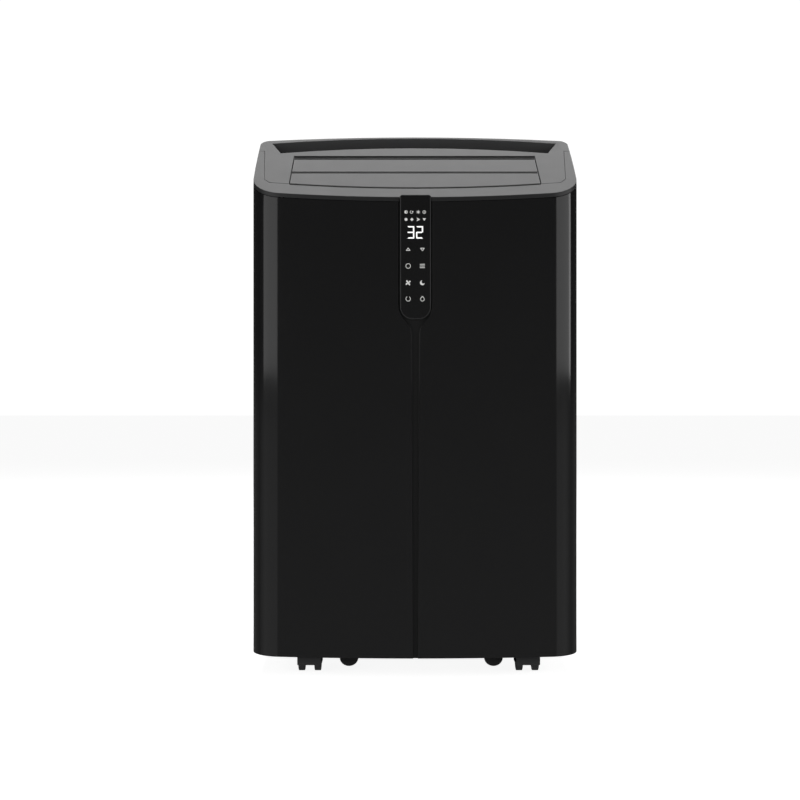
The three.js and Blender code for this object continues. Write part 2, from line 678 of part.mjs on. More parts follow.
function rearShell() {
  const holes = [];
  for (const [z0, z1] of [upperWindow, lowerWindow]) {
    holes.push(box(-windowHalf, windowHalf, INNER_REAR - 5, REAR + 5, z0, z1));
  }
  holes.push(barY(exhaustX, exhaustZ, INNER_REAR - 5, REAR + 5, EXHAUST_R + COLLAR_WALL + GAP, 32));
  for (const z of drainZ) {
    holes.push(barY(drainX, z, INNER_REAR - 5, REAR + 5, 8 + GAP, 20));
  }
  holes.push(barY(drainX + 60, glandZ, INNER_REAR - 5, REAR + 5, 9 + GAP, 20));
  for (const side of [-1, 1]) {
    const x = [side * WIDTH, side * (WIDTH / 2 - 30)].sort((a, b) => a - b);
    holes.push(box(x[0], x[1], gripY[0], gripY[1], gripZ[0], gripZ[1]));
  }
  return mesh('rear_shell', cut(walls.intersect(aftRegion), holes), 0x111111, 0.14);
}

// A hand grip: an open cup let into the side wall.
function handGrip(name, side) {
  const outer = WIDTH / 2 - 3.5;
  const deep = 24;
  const g = GAP;
  const shell = box(outer - deep, outer, gripY[0] + g, gripY[1] - g, gripZ[0] + g, gripZ[1] - g);
  const hollow = box(outer - deep + 2.5, outer + 1, gripY[0] + 3, gripY[1] - 3, gripZ[0] + 3, gripZ[1] - 3);
  const cup = cut(shell, [hollow]);
  return mesh(name, side < 0 ? cup.mirror([1, 0, 0]) : cup, 0x161616, 0.5);
}

// A grille: a framed plate with level slots on both sides of a middle bar.
function grille(name, [z0, z1]) {
  const g = 0.6;
  const plate = box(-windowHalf + g, windowHalf - g, REAR - WALL, REAR, z0 + g, z1 - g);
  const slots = [];
  const pitch = 15;
  const count = Math.floor((z1 - z0 - 2 * 11) / pitch);
  const start = (z0 + z1 - count * pitch) / 2;
  for (let i = 0; i < count; i += 1) {
    const z = start + pitch * i + 3;
    for (const side of [-1, 1]) {
      const x = [side * 5, side * (windowHalf - 12)].sort((a, b) => a - b);
      slots.push(box(x[0], x[1], REAR - WALL - 1, REAR + 1, z, z + 9));
    }
  }
  return mesh(name, cut(plate, slots), 0x141414, 0.4);
}

// A filter: a shallow frame with cross bars that clips behind its grille.
function filter(name, [z0, z1]) {
  const g = 4;
  const y1 = REAR - WALL - GAP;
  const y0 = y1 - FILTER_THICK;
  const half = windowHalf - g;
  const frame = box(-half, half, y0, y1, z0 + g, z1 - g);
  const cells = [];
  const across = 5;
  const down = z1 - z0 > 220 ? 3 : 2;
  const cw = (2 * half - 8) / across;
  const ch = (z1 - z0 - 2 * g - 8) / down;
  for (let i = 0; i < across; i += 1) {
    for (let j = 0; j < down; j += 1) {
      const x = -half + 4 + cw * i;
      const z = z0 + g + 4 + ch * j;
      cells.push(box(x + 2, x + cw - 2, y0 - 1, y1 - 1.5, z + 2, z + ch - 2));
    }
  }
  return mesh(name, cut(frame, cells), 0x7d8488, 0.8);
}

function drainPlug(name, z) {
  const plug = barY(drainX, z, INNER_REAR - 8, REAR + 1, 8, 20);
  const cap = barY(drainX, z, REAR + GAP, REAR + 6, 12, 24);
  return mesh(name, plug.add(cap), 0x1a1a1a, 0.7);
}

function cordGland() {
  const x = drainX + 60;
  const body = barY(x, glandZ, INNER_REAR - 6, REAR + 1, 9, 20);
  const flange = barY(x, glandZ, REAR + GAP, REAR + 4, 13, 24);
  const bore = barY(x, glandZ, INNER_REAR - 10, REAR + 10, 4.2, 16);
  return mesh('cord_gland', cut(body.add(flange), [bore]), 0x151515, 0.6);
}

// ---------------------------------------------------------------- base pan, partition tray

const casterSpots = [
  ['front_left', CASTER_IN - WIDTH / 2 + CASTER_SHIFT, FRONT + CASTER_FRONT_Y],
  ['front_right', WIDTH / 2 - CASTER_IN + CASTER_SHIFT, FRONT + CASTER_FRONT_Y],
  ['rear_left', CASTER_IN - WIDTH / 2, REAR - CASTER_REAR_Y],
  ['rear_right', WIDTH / 2 - CASTER_IN, REAR - CASTER_REAR_Y],
];

function basePan() {
  const z0 = FLOOR_GAP + 2;
  const tray = alongZ(plan(WALL + GAP), z0, z0 + BASE_RIM)
    .subtract(alongZ(plan(2 * WALL + GAP), z0 + BASE_THICK, z0 + BASE_RIM + 1));
  const notchBack = FRONT + GROOVE_DEPTH + 6;
  const notchHalf = GROOVE_TOP / 2 + 6;
  const clearRib = box(-notchHalf, notchHalf, FRONT, notchBack, 0, 100);
  const rimHalf = notchHalf + WALL;
  const notchRim = box(-rimHalf, rimHalf, notchBack - 2, notchBack + 3, z0, z0 + BASE_RIM);
  const wells = casterSpots.map(([, x, y]) => barZ(x, y, z0, WELL_TOP + 3, WELL_R + 2.5, 24));
  const cavities = casterSpots.map(([, x, y]) => barZ(x, y, 0, WELL_TOP, WELL_R, 24));
  const stems = casterSpots.map(([, x, y]) => barZ(x, y, WELL_TOP - 1, WELL_TOP + 20, STEM_R + GAP, 12));
  const bosses = casterSpots.map(([, x, y]) => barZ(x, y, WELL_TOP + 1, WELL_TOP + 13, STEM_R + 4, 12));
  const pan = union([tray, notchRim, ...wells]);
  const drain = barY(drainX, drainZ[1], INNER_REAR - 20, REAR, 8 + GAP, 20);
  const shape = cut(cut(pan, cavities).add(union(bosses)), [...stems, clearRib, drain]);
  return mesh('base_pan', shape, 0x1b1b1b, 0.6);
}

function partitionTray() {
  const left = -INNER_HALF + 34;
  const right = WIDTH / 2 - CORNER_REAR + 22;
  const fore = FRONT + 60;
  const aft = COIL_REAR + 4;
  const plate = box(left, right, fore, aft, TRAY_Z, TRAY_TOP + TRAY_RIM);
  const hollow = box(left + 3, right - 3, fore + 3, aft - 3, TRAY_TOP, TRAY_TOP + TRAY_RIM + 1);
  return mesh('partition_tray', cut(plate, [hollow]), 0xe2e2de, 0.7);
}

// ---------------------------------------------------------------- refrigeration

// A finned coil block with end plates and return bends on its right end.
function coil(name, z0, z1, bends) {
  const x0 = -INNER_HALF + COIL_MARGIN;
  const x1 = INNER_HALF - COIL_MARGIN + 6;
  const y0 = COIL_REAR - COIL_THICK;
  const core = box(x0, x1, y0 + 2, COIL_REAR - 2, z0 + 2, z1 - 2);
  const pieces = [core];
  for (const x of [x0, x1 - 2]) {
    pieces.push(box(x, x + 2, y0, COIL_REAR, z0, z1));
  }
  const pitch = (z1 - z0 - 30) / bends;
  for (let i = 0; i < bends; i += 1) {
    const bend = new THREE.TorusGeometry(9, PIPE_R, 6, 10);
    bend.rotateX(Math.PI / 2);
    bend.translate(x1, (y0 + COIL_REAR) / 2, z0 + 15 + pitch * (i + 0.5));
    pieces.push(solid(bend));
  }
  return mesh(name, union(pieces), 0xb9bcc0, 0.35, 0.8);
}

const coilLeft = -INNER_HALF + COIL_MARGIN;
const evapCoilZ = [TRAY_TOP + 8, FRONT_TOP + 18];
const condCoilZ = [BASE_TOP + 26, cond.top - 10];
const condLeft = cond.x - cond.r0 - (cond.r1 - cond.r0) * (Math.PI - TONGUE) / (2 * Math.PI - TONGUE);
const compressorX = Math.min(COMPRESSOR_X, condLeft - COMPRESSOR_R - 2 * WALL);
const compressor = { x: compressorX, y: FRONT + 172, z0: BASE_TOP + 15 };
const accumulator = { x: compressor.x + 50, y: compressor.y - 67, r: 22 };

function compressorBody() {
  const { x, y, z0 } = compressor;
  const z1 = z0 + COMPRESSOR_TALL;
  const can = turned([
    [0, z0 - 3], [COMPRESSOR_R - 26, z0 - 1], [COMPRESSOR_R - 8, z0 + 6], [COMPRESSOR_R, z0 + 20],
    [COMPRESSOR_R, z1 - 24], [COMPRESSOR_R - 8, z1 - 9], [COMPRESSOR_R - 26, z1 - 1], [0, z1],
  ], x, y, 24);
  const feet = [];
  for (let i = 0; i < 3; i += 1) {
    const t = (90 + 120 * i) * DEG;
    const arm = new THREE.BoxGeometry(76, 22, 3);
    arm.translate(40, 0, 0);
    arm.rotateZ(t);
    arm.translate(x, y, z0 + 1.5);
    feet.push(solid(arm));
  }
  return mesh('compressor', union([can, ...feet]), 0x17181a, 0.4, 0.5);
}

function grommet(i) {
  const t = (90 + 120 * i) * DEG;
  const x = compressor.x + 66 * Math.cos(t);
  const y = compressor.y + 66 * Math.sin(t);
  const z0 = BASE_TOP + GAP;
  const z1 = compressor.z0 - GAP;
  const mid = (z0 + z1) / 2;
  const profile = [
    [0, z0], [9.5, z0], [9.5, mid - 2], [7.5, mid], [9.5, mid + 2], [9.5, z1], [0, z1],
  ];
  return mesh(`compressor_grommet_${i + 1}`, turned(profile, x, y, 12), 0x101010, 0.9);
}

function accumulatorBody() {
  const { x, y, r } = accumulator;
  const z0 = compressor.z0 + 34;
  const z1 = z0 + 140;
  const profile = [[0, z0], [r - 6, z0 + 2], [r, z0 + 12], [r, z1 - 12], [r - 6, z1 - 2], [0, z1]];
  const can = turned(profile, x, y, 20);
  const along = Math.atan2(compressor.y - y, compressor.x - x);
  const span = Math.hypot(compressor.x - x, compressor.y - y) - COMPRESSOR_R - 1;
  const strap = new THREE.BoxGeometry(span, 16, 10);
  strap.translate(span / 2, 0, 0);
  strap.rotateZ(along);
  strap.translate(x, y, (z0 + z1) / 2);
  return mesh('accumulator', can.add(solid(strap)), 0x17181a, 0.4, 0.5);
}

function pipe(name, points, r, color) {
  const path = new THREE.CatmullRomCurve3(points.map(([x, y, z]) => new THREE.Vector3(x, y, z)));
  const ring = [];
  for (let i = 0; i < 6; i += 1) {
    ring.push([r * Math.cos(i * Math.PI / 3), r * Math.sin(i * Math.PI / 3)]);
  }
  const options = { steps: 24, extrudePath: path, bevelEnabled: false };
  const geometry = new THREE.ExtrudeGeometry(outline(ring), options);
  return mesh(name, solid(geometry), color, 0.3, 0.9);
}

const riserX = -INNER_HALF + 13;
const coilMidY = COIL_REAR - COIL_THICK / 2;

function dischargePipe() {
  const top = compressor.z0 + COMPRESSOR_TALL;
  return pipe('discharge_pipe', [
    [compressor.x, compressor.y, top + 0.8], [compressor.x, compressor.y, top + 18],
    [compressor.x - 30, compressor.y + 30, top + 34], [riserX, compressor.y + 70, top + 20],
    [riserX, coilMidY - 20, condCoilZ[1] - 30], [riserX + 6, coilMidY, condCoilZ[1] - 34],
    [coilLeft - 0.6, coilMidY, condCoilZ[1] - 34],
  ], PIPE_R, 0xb87333);
}

function suctionPipe() {
  const top = compressor.z0 + 34 + 140;
  const z = evapCoilZ[0] + 40;
  return pipe('suction_pipe', [
    [accumulator.x, accumulator.y, top + 0.8], [accumulator.x, accumulator.y, top + 30],
    [accumulator.x - 40, accumulator.y - 20, top + 90], [riserX + 4, accumulator.y + 10, top + 120],
    [riserX, coilMidY - 60, TRAY_Z + 20], [riserX, coilMidY - 14, z - 10], [riserX + 8, coilMidY + 8, z],
    [coilLeft - 0.6, coilMidY + 8, z],
  ], PIPE_R + 1, 0xb87333);
}

function liquidPipe() {
  const low = condCoilZ[0] + 20;
  const high = evapCoilZ[0] + 18;
  const x = riserX + 8;
  return pipe('liquid_pipe', [
    [coilLeft - 0.6, coilMidY + 12, low], [x, coilMidY + 12, low], [x - 4, coilMidY + 14, low + 16],
    [x - 4, coilMidY + 14, (low + high) / 2], [x - 4, coilMidY + 14, high - 16], [x, coilMidY + 12, high],
    [coilLeft - 0.6, coilMidY + 12, high],
  ], PIPE_R - 1.2, 0xb87333);
}

// The slinger: a paddle wheel that throws condensate onto the condenser.
const slinger = { x: -20, z: BASE_TOP + 32, y1: COIL_REAR - COIL_THICK - 8 };

function slingerMotor() {
  const { x, z, y1 } = slinger;
  const can = barY(x, z, y1 - 36, y1 - 10, 17, 20);
  const shaft = barY(x, z, y1 - 12, y1 - 3, 3, 12);
  const post = box(x - 9, x + 9, y1 - 32, y1 - 16, BASE_TOP + GAP, z);
  return mesh('slinger_motor', union([can, shaft, post]), 0x6d7074, 0.4, 0.6);
}

function slingerWheel() {
  const { x, z, y1 } = slinger;
  const disc = barY(x, z, y1 - 7, y1 - 4.5, 21, 24);
  const paddles = [];
  for (let i = 0; i < 8; i += 1) {
    const blade = new THREE.BoxGeometry(12, 6, 2);
    blade.translate(22, y1 - 5, 0);
    blade.rotateY(Math.PI * i / 4);
    blade.translate(x, 0, z);
    paddles.push(solid(blade));
  }
  const bore = barY(x, z, y1 - 20, y1 + 5, 3.4, 12);
  return mesh('slinger_wheel', cut(union([disc, ...paddles]), [bore]), 0xdddddd, 0.6);
}

// ---------------------------------------------------------------- electrical

const eBox = {
  x0: 40, x1: WIDTH / 2 - 57, y0: FRONT + 24, y1: cond.y0 - WALL - 8, z0: TRAY_Z - 96, z1: TRAY_Z - GAP,
};

function controlBox() {
  const { x0, x1, y0, y1, z0, z1 } = eBox;
  const shell = box(x0, x1, y0, y1, z0, z1);
  const hollow = box(x0 + 2, x1 - 2, y0 + 2, y1 - 2, z0 + 2, z1 + 1);
  return mesh('control_box', cut(shell, [hollow]), 0xa9acaf, 0.4, 0.7);
}

function mainBoard() {
  const { x0, x1, y0, y1, z0 } = eBox;
  const z = z0 + 2 + GAP;
  const board = box(x0 + 5, x1 - 5, y0 + 5, y1 - 5, z + 6, z + 8);
  const feet = [x0 + 8, x1 - 16].map((x) => box(x, x + 8, y0 + 8, y1 - 8, z, z + 7));
  const capacitor = barZ(x0 + 34, y0 + 32, z + 7, z + 60, 18, 20);
  const relay = box(x0 + 70, x0 + 96, y0 + 20, y0 + 44, z + 7, z + 30);
  const transformer = box(x0 + 70, x0 + 110, y1 - 46, y1 - 14, z + 7, z + 36);
  return mesh('main_board', union([board, ...feet, capacitor, relay, transformer]), 0x1c4a2a, 0.6);
}

// ---------------------------------------------------------------- casters and stop feet

// A twin-wheel caster's hood and stem. Its wheels stand in front of the stem by the trail.
function casterHood(name, x, y) {
  const wheelY = y - CASTER_TRAIL;
  const z = WHEEL_R;
  const fender = barX(wheelY, z, x - HOOD_WIDE / 2, x + HOOD_WIDE / 2, HOOD_R, 20);
  const slots = [-1, 1].map((side) => {
    const span = [side * (WHEEL_INNER - 0.6), side * HOOD_WIDE].sort((a, b) => a - b);
    return barX(wheelY, z, x + span[0], x + span[1], WHEEL_R + 0.8, 20);
  });
  const turret = barZ(x, y, z + 2, WELL_TOP - 1.5, 11, 14);
  const stem = barZ(x, y, z + 10, WELL_TOP + 11, STEM_R, 12);
  const axleHole = barX(wheelY, z, x - 30, x + 30, 3.4, 10);
  const low = box(x - 60, x + 60, y - 80, y + 80, -5, HOOD_GAP);
  const cleared = cut(fender.add(turret), [...slots, axleHole, low]);
  return mesh(`caster_${name}_hood`, cleared.add(stem.subtract(slots[0]).subtract(slots[1])), 0x171717, 0.5);
}

function casterWheels(name, x, y) {
  const wheelY = y - CASTER_TRAIL;
  const pieces = [barX(wheelY, WHEEL_R, x - WHEEL_INNER - 1, x + WHEEL_INNER + 1, 3, 10)];
  for (const side of [-1, 1]) {
    const span = [x + side * WHEEL_INNER, x + side * (WHEEL_INNER + WHEEL_WIDE)].sort((a, b) => a - b);
    pieces.push(barX(wheelY, WHEEL_R, span[0], span[1], WHEEL_R, 28));
  }
  return mesh(`caster_${name}_wheels`, union(pieces), 0x0f0f0f, 0.7);
}

function stopFoot(name, x) {
  const y = FRONT + CASTER_FRONT_Y - CASTER_TRAIL;
  const z0 = STOP_FOOT_GAP;
  const r = STOP_FOOT_R;
  const foot = turned([
    [0, z0], [r - 5, z0], [r - 2, z0 + 2], [r - 0.5, z0 + 5], [r, z0 + 9], [r, FLOOR_GAP + 2 - GAP],
    [0, FLOOR_GAP + 2 - GAP],
  ], x, y, 20);
  return mesh(name, foot, 0x101010, 0.7);
}

// ---------------------------------------------------------------- the assembly

const airConditioner = new THREE.Group();
airConditioner.add(
  frontPanel(), rearShell(), topTrim(), topCover(),
  controlLens(), displayBoard(), basePan(), partitionTray(),
  handGrip('left_hand_grip', -1), handGrip('right_hand_grip', 1),
  stopFoot('left_stop_foot', STOP_FOOT_SHIFT - STOP_FOOT_X),
  stopFoot('right_stop_foot', STOP_FOOT_SHIFT + STOP_FOOT_X),
  frontBlade(), rearBlade(), louvreLink(), louvreMotor(), outletDuct(), vaneLink(),
  coil('evaporator_coil', ...evapCoilZ, 4), coil('condenser_coil', ...condCoilZ, 3),
  compressorBody(), accumulatorBody(), dischargePipe(), suctionPipe(), liquidPipe(),
  scroll('evaporator_scroll', evap), scroll('condenser_scroll', cond),
  blowerWheel('evaporator_wheel', evap, 20), blowerWheel('condenser_wheel', cond, 18),
  fanMotor('evaporator_motor', evap), fanMotor('condenser_motor', cond),
  exhaustDuct(), exhaustCollar(),
  grille('upper_intake_grille', upperWindow), filter('upper_filter', upperWindow),
  grille('lower_intake_grille', lowerWindow), filter('lower_filter', lowerWindow),
  drainPlug('upper_drain_plug', drainZ[0]), drainPlug('lower_drain_plug', drainZ[1]), cordGland(),
  controlBox(), mainBoard(), slingerMotor(), slingerWheel(),
);
for (let i = 0; i < VANES; i += 1) {
  airConditioner.add(vane(i));
}
for (let i = 0; i < 3; i += 1) {
  airConditioner.add(grommet(i));
}
for (const [name, x, y] of casterSpots) {
  airConditioner.add(casterHood(name, x, y), casterWheels(name, x, y));
}

export default airConditioner;
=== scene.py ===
"""A portable air conditioner, dressed round its CAD assembly.

Metres, +Z up, the front towards -Y. Every place is read from the boxes of the CAD nodes.
"""

import json
import logging
import math
from dataclasses import dataclass, field
from enum import Enum, auto
from typing import Callable, Iterable, Sequence

import bmesh
import bpy
from mathutils import Matrix, Vector


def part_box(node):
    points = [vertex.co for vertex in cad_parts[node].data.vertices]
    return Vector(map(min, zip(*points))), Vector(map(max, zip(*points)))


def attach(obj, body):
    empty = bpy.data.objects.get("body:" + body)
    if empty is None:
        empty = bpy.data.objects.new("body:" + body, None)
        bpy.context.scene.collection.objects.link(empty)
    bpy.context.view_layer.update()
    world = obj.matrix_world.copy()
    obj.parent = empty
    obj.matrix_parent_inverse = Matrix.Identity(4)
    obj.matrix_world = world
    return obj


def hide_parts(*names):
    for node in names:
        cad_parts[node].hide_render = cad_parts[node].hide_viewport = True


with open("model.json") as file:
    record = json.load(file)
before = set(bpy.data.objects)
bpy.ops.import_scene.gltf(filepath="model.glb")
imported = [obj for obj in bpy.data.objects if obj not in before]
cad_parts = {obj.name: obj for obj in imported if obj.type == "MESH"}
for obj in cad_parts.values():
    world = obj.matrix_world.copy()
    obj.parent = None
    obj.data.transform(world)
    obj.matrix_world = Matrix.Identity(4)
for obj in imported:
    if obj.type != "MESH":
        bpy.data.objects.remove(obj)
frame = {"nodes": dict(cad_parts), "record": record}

LOG = logging.getLogger("air_conditioner")
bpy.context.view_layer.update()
MM = 0.001
SLOPE = math.radians(32.7)
TOP_THICK = 5 * MM
SEAM = 0.3 * MM
LENS_OVER_EDGE = 3 * MM
POCKET_HALF = 26 * MM
STRIP_SET_BACK = 0.5 * MM

Point = tuple[float, float]
Colour = tuple[float, float, float]
BMesh = bmesh.types.BMesh
BMVert = bmesh.types.BMVert
BMEdge = bmesh.types.BMEdge
Tree = bpy.types.NodeTree
Socket = bpy.types.NodeSocket
Thing = bpy.types.Object


# ---------------------------------------------------------------- finishes


class Texture(Enum):
    """The surface relief a finish has."""

    ORANGE_PEEL = "orange_peel"
    GRAIN = "grain"
    FINS = "fins"
    BRUSHED = "brushed"
    CAST = "cast"


class Axis(Enum):
    """A direction in the object's frame, as a column number."""

    X = 0
    Y = 1
    Z = 2


@dataclass(frozen=True)
class Finish:
    """One procedural finish on object coordinates.

    Attributes:
        slot: Name of the record's material slot it belongs to.
        colour: Linear base colour.
        shade: Linear colour that soft clouds lead to.
        roughness: Lowest and highest roughness.
        texture: Kind of relief.
        scale: Size of the relief's pattern, in repeats per metre.
        relief: Strength of the bump.
        metal: Metallic value.
        coat: Weight of a clear coat.
        glow: Strength of the light given off in the base colour.
    """

    slot: str
    colour: Colour
    shade: Colour
    roughness: Point
    texture: Texture = Texture.GRAIN
    scale: float = 900.0
    relief: float = 0.05
    metal: float = 0.0
    coat: float = 0.0
    glow: float = 0.0

    def build(self, name: str) -> bpy.types.Material:
        """Makes the material.

        Args:
            name: Name of the new material.

        Returns:
            The material, with its node tree.
        """
        material = bpy.data.materials.new(name)
        material.use_nodes = True
        tree = material.node_tree
        shader = tree.nodes["Principled BSDF"]
        shader.inputs["Metallic"].default_value = self.metal
        shader.inputs["Coat Weight"].default_value = self.coat
        shader.inputs["Coat Roughness"].default_value = 0.08
        if self.glow:
            shader.inputs["Emission Color"].default_value = (*self.colour, 1.0)
            shader.inputs["Emission Strength"].default_value = self.glow
        place = tree.nodes.new("ShaderNodeTexCoord").outputs["Object"]
        clouds = self._noise(tree, place, 14.0, 3.0)
        mix = tree.nodes.new("ShaderNodeMix")
        mix.data_type = "RGBA"
        mix.inputs[6].default_value = (*self.colour, 1.0)
        mix.inputs[7].default_value = (*self.shade, 1.0)
        tree.links.new(clouds, mix.inputs[0])
        tree.links.new(mix.outputs[2], shader.inputs["Base Color"])
        wear = self._noise(tree, place, 37.0, 5.0)
        span = tree.nodes.new("ShaderNodeMapRange")
        span.inputs["To Min"].default_value = self.roughness[0]
        span.inputs["To Max"].default_value = self.roughness[1]
        tree.links.new(wear, span.inputs["Value"])
        tree.links.new(span.outputs["Result"], shader.inputs["Roughness"])
        bump = tree.nodes.new("ShaderNodeBump")
        bump.inputs["Strength"].default_value = self.relief
        bump.inputs["Distance"].default_value = 0.3 * MM
        tree.links.new(self._relief(tree, place), bump.inputs["Height"])
        tree.links.new(bump.outputs["Normal"], shader.inputs["Normal"])
        return material

    def _relief(self, tree: Tree, place: Socket) -> Socket:
        """Makes the height that the bump reads.

        Args:
            tree: Node tree to add to.
            place: Object coordinates.

        Returns:
            The height's output socket.
        """
        if self.texture in (Texture.FINS, Texture.BRUSHED):
            wave = tree.nodes.new("ShaderNodeTexWave")
            wave.bands_direction = "X" if self.texture is Texture.FINS else "Z"
            wave.inputs["Scale"].default_value = self.scale
            wave.inputs["Distortion"].default_value = 0.0 if self.texture is Texture.FINS else 6.0
            tree.links.new(place, wave.inputs["Vector"])
            return wave.outputs["Fac"]
        detail = 2.0 if self.texture is Texture.ORANGE_PEEL else 8.0
        return self._noise(tree, place, self.scale, detail)

    def _noise(self, tree: Tree, place: Socket, scale: float, detail: float) -> Socket:
        """Adds a noise texture.

        Args:
            tree: Node tree to add to.
            place: Object coordinates.
            scale: Repeats per metre.
            detail: Octaves of detail.

        Returns:
            The noise's output socket.
        """
        noise = tree.nodes.new("ShaderNodeTexNoise")
        noise.inputs["Scale"].default_value = scale
        noise.inputs["Detail"].default_value = detail
        tree.links.new(place, noise.inputs["Vector"])
        return noise.outputs["Fac"]


@dataclass(frozen=True)
class Finishes:
    """Every finish of the machine."""

    gloss_black: Finish = Finish(
        "gloss_black", (0.0050, 0.0050, 0.0052), (0.0062, 0.0062, 0.0064), (0.08, 0.12),
        Texture.ORANGE_PEEL, 420.0, 0.02)
    # Painted shade: a darker, rougher copy of the gloss black for the groove's sunk floor, where shade falls.
    groove_matt: Finish = Finish(
        "gloss_black", (0.0022, 0.0022, 0.0023), (0.0028, 0.0028, 0.0029), (0.55, 0.65), relief=0.03)
    top_plastic: Finish = Finish(
        "top_plastic", (0.052, 0.052, 0.053), (0.057, 0.057, 0.058), (0.40, 0.46), scale=1400.0)
    # Painted shade: a darker copy of the top plastic for the trim's front-facing rim.
    trim_edge: Finish = Finish(
        "top_plastic", (0.012, 0.012, 0.0125), (0.015, 0.015, 0.0155), (0.40, 0.46), scale=1400.0)
    # Black rubber for the seal and the stop feet; the same colour is painted shade on the strips that widen the
    # outlet's seams.
    seal_rubber: Finish = Finish(
        "rubber", (0.0035, 0.0035, 0.0036), (0.0045, 0.0045, 0.0046), (0.75, 0.9), scale=700.0)
    louvre_plastic: Finish = Finish(
        "louvre_plastic", (0.053, 0.053, 0.054), (0.058, 0.058, 0.059), (0.40, 0.46), scale=1400.0)
    lens: Finish = Finish(
        "lens", (0.0028, 0.0028, 0.003), (0.0034, 0.0034, 0.0036), (0.05, 0.09),
        Texture.ORANGE_PEEL, 200.0, 0.006, coat=0.3)
    # Painted highlight: a lighter grey for the thin ring round the lens, standing in for the light its edge
    # catches.
    lens_rim: Finish = Finish(
        "lens", (0.026, 0.026, 0.0264), (0.030, 0.030, 0.0304), (0.25, 0.32), scale=1200.0, relief=0.03)
    sign_print: Finish = Finish(
        "lens", (0.45, 0.45, 0.44), (0.5, 0.5, 0.49), (0.4, 0.5), scale=1500.0, relief=0.02, glow=0.6)
    lit_digits: Finish = Finish(
        "lens", (0.80, 0.80, 0.79), (0.84, 0.84, 0.83), (0.4, 0.5), scale=1500.0, relief=0.02, glow=0.85)
    black_plastic: Finish = Finish(
        "black_plastic", (0.013, 0.013, 0.0135), (0.017, 0.017, 0.0175),
        (0.38, 0.52), scale=1100.0, relief=0.18)
    white_plastic: Finish = Finish(
        "white_plastic", (0.62, 0.62, 0.60), (0.70, 0.70, 0.68), (0.42, 0.55), scale=800.0, relief=0.06)
    fan_plastic: Finish = Finish(
        "fan_plastic", (0.045, 0.045, 0.048), (0.06, 0.06, 0.063), (0.42, 0.55), relief=0.08)
    filter_plastic: Finish = Finish(
        "filter_plastic", (0.20, 0.22, 0.23), (0.25, 0.27, 0.28), (0.5, 0.62), scale=1000.0, relief=0.08)
    board: Finish = Finish(
        "board", (0.015, 0.09, 0.035), (0.02, 0.12, 0.045), (0.3, 0.42), scale=600.0, relief=0.12)
    fin_metal: Finish = Finish(
        "fin_metal", (0.62, 0.63, 0.64), (0.72, 0.73, 0.74),
        (0.28, 0.4), Texture.FINS, 170.0, 0.9, metal=1.0)
    steel: Finish = Finish(
        "steel", (0.42, 0.43, 0.44), (0.50, 0.51, 0.52),
        (0.26, 0.4), Texture.BRUSHED, 260.0, 0.05, metal=1.0)
    painted_black: Finish = Finish(
        "painted_black", (0.012, 0.012, 0.013), (0.018, 0.018, 0.019),
        (0.28, 0.42), Texture.CAST, 240.0, 0.15)
    copper: Finish = Finish(
        "copper", (0.70, 0.34, 0.20), (0.60, 0.27, 0.15),
        (0.24, 0.42), Texture.CAST, 150.0, 0.05, metal=1.0)
    rubber: Finish = Finish(
        "rubber", (0.010, 0.010, 0.010), (0.014, 0.014, 0.014), (0.62, 0.78), relief=0.15)
    caster_plastic: Finish = Finish(
        "caster_plastic", (0.016, 0.016, 0.0165), (0.022, 0.022, 0.0225),
        (0.30, 0.42), scale=1000.0, relief=0.1)
    wheel_plastic: Finish = Finish(
        "wheel_plastic", (0.013, 0.013, 0.0135), (0.019, 0.019, 0.0195), (0.36, 0.5), relief=0.12)
    zinc: Finish = Finish(
        "steel", (0.34, 0.34, 0.35), (0.42, 0.42, 0.43), (0.28, 0.38), Texture.CAST, 700.0, 0.04, metal=1.0)

    def materials(self) -> dict[str, bpy.types.Material]:
        """Builds every finish once, keyed by its field name."""
        return {name: getattr(self, name).build(name) for name in self.__dataclass_fields__}


# ---------------------------------------------------------------- modelling helpers


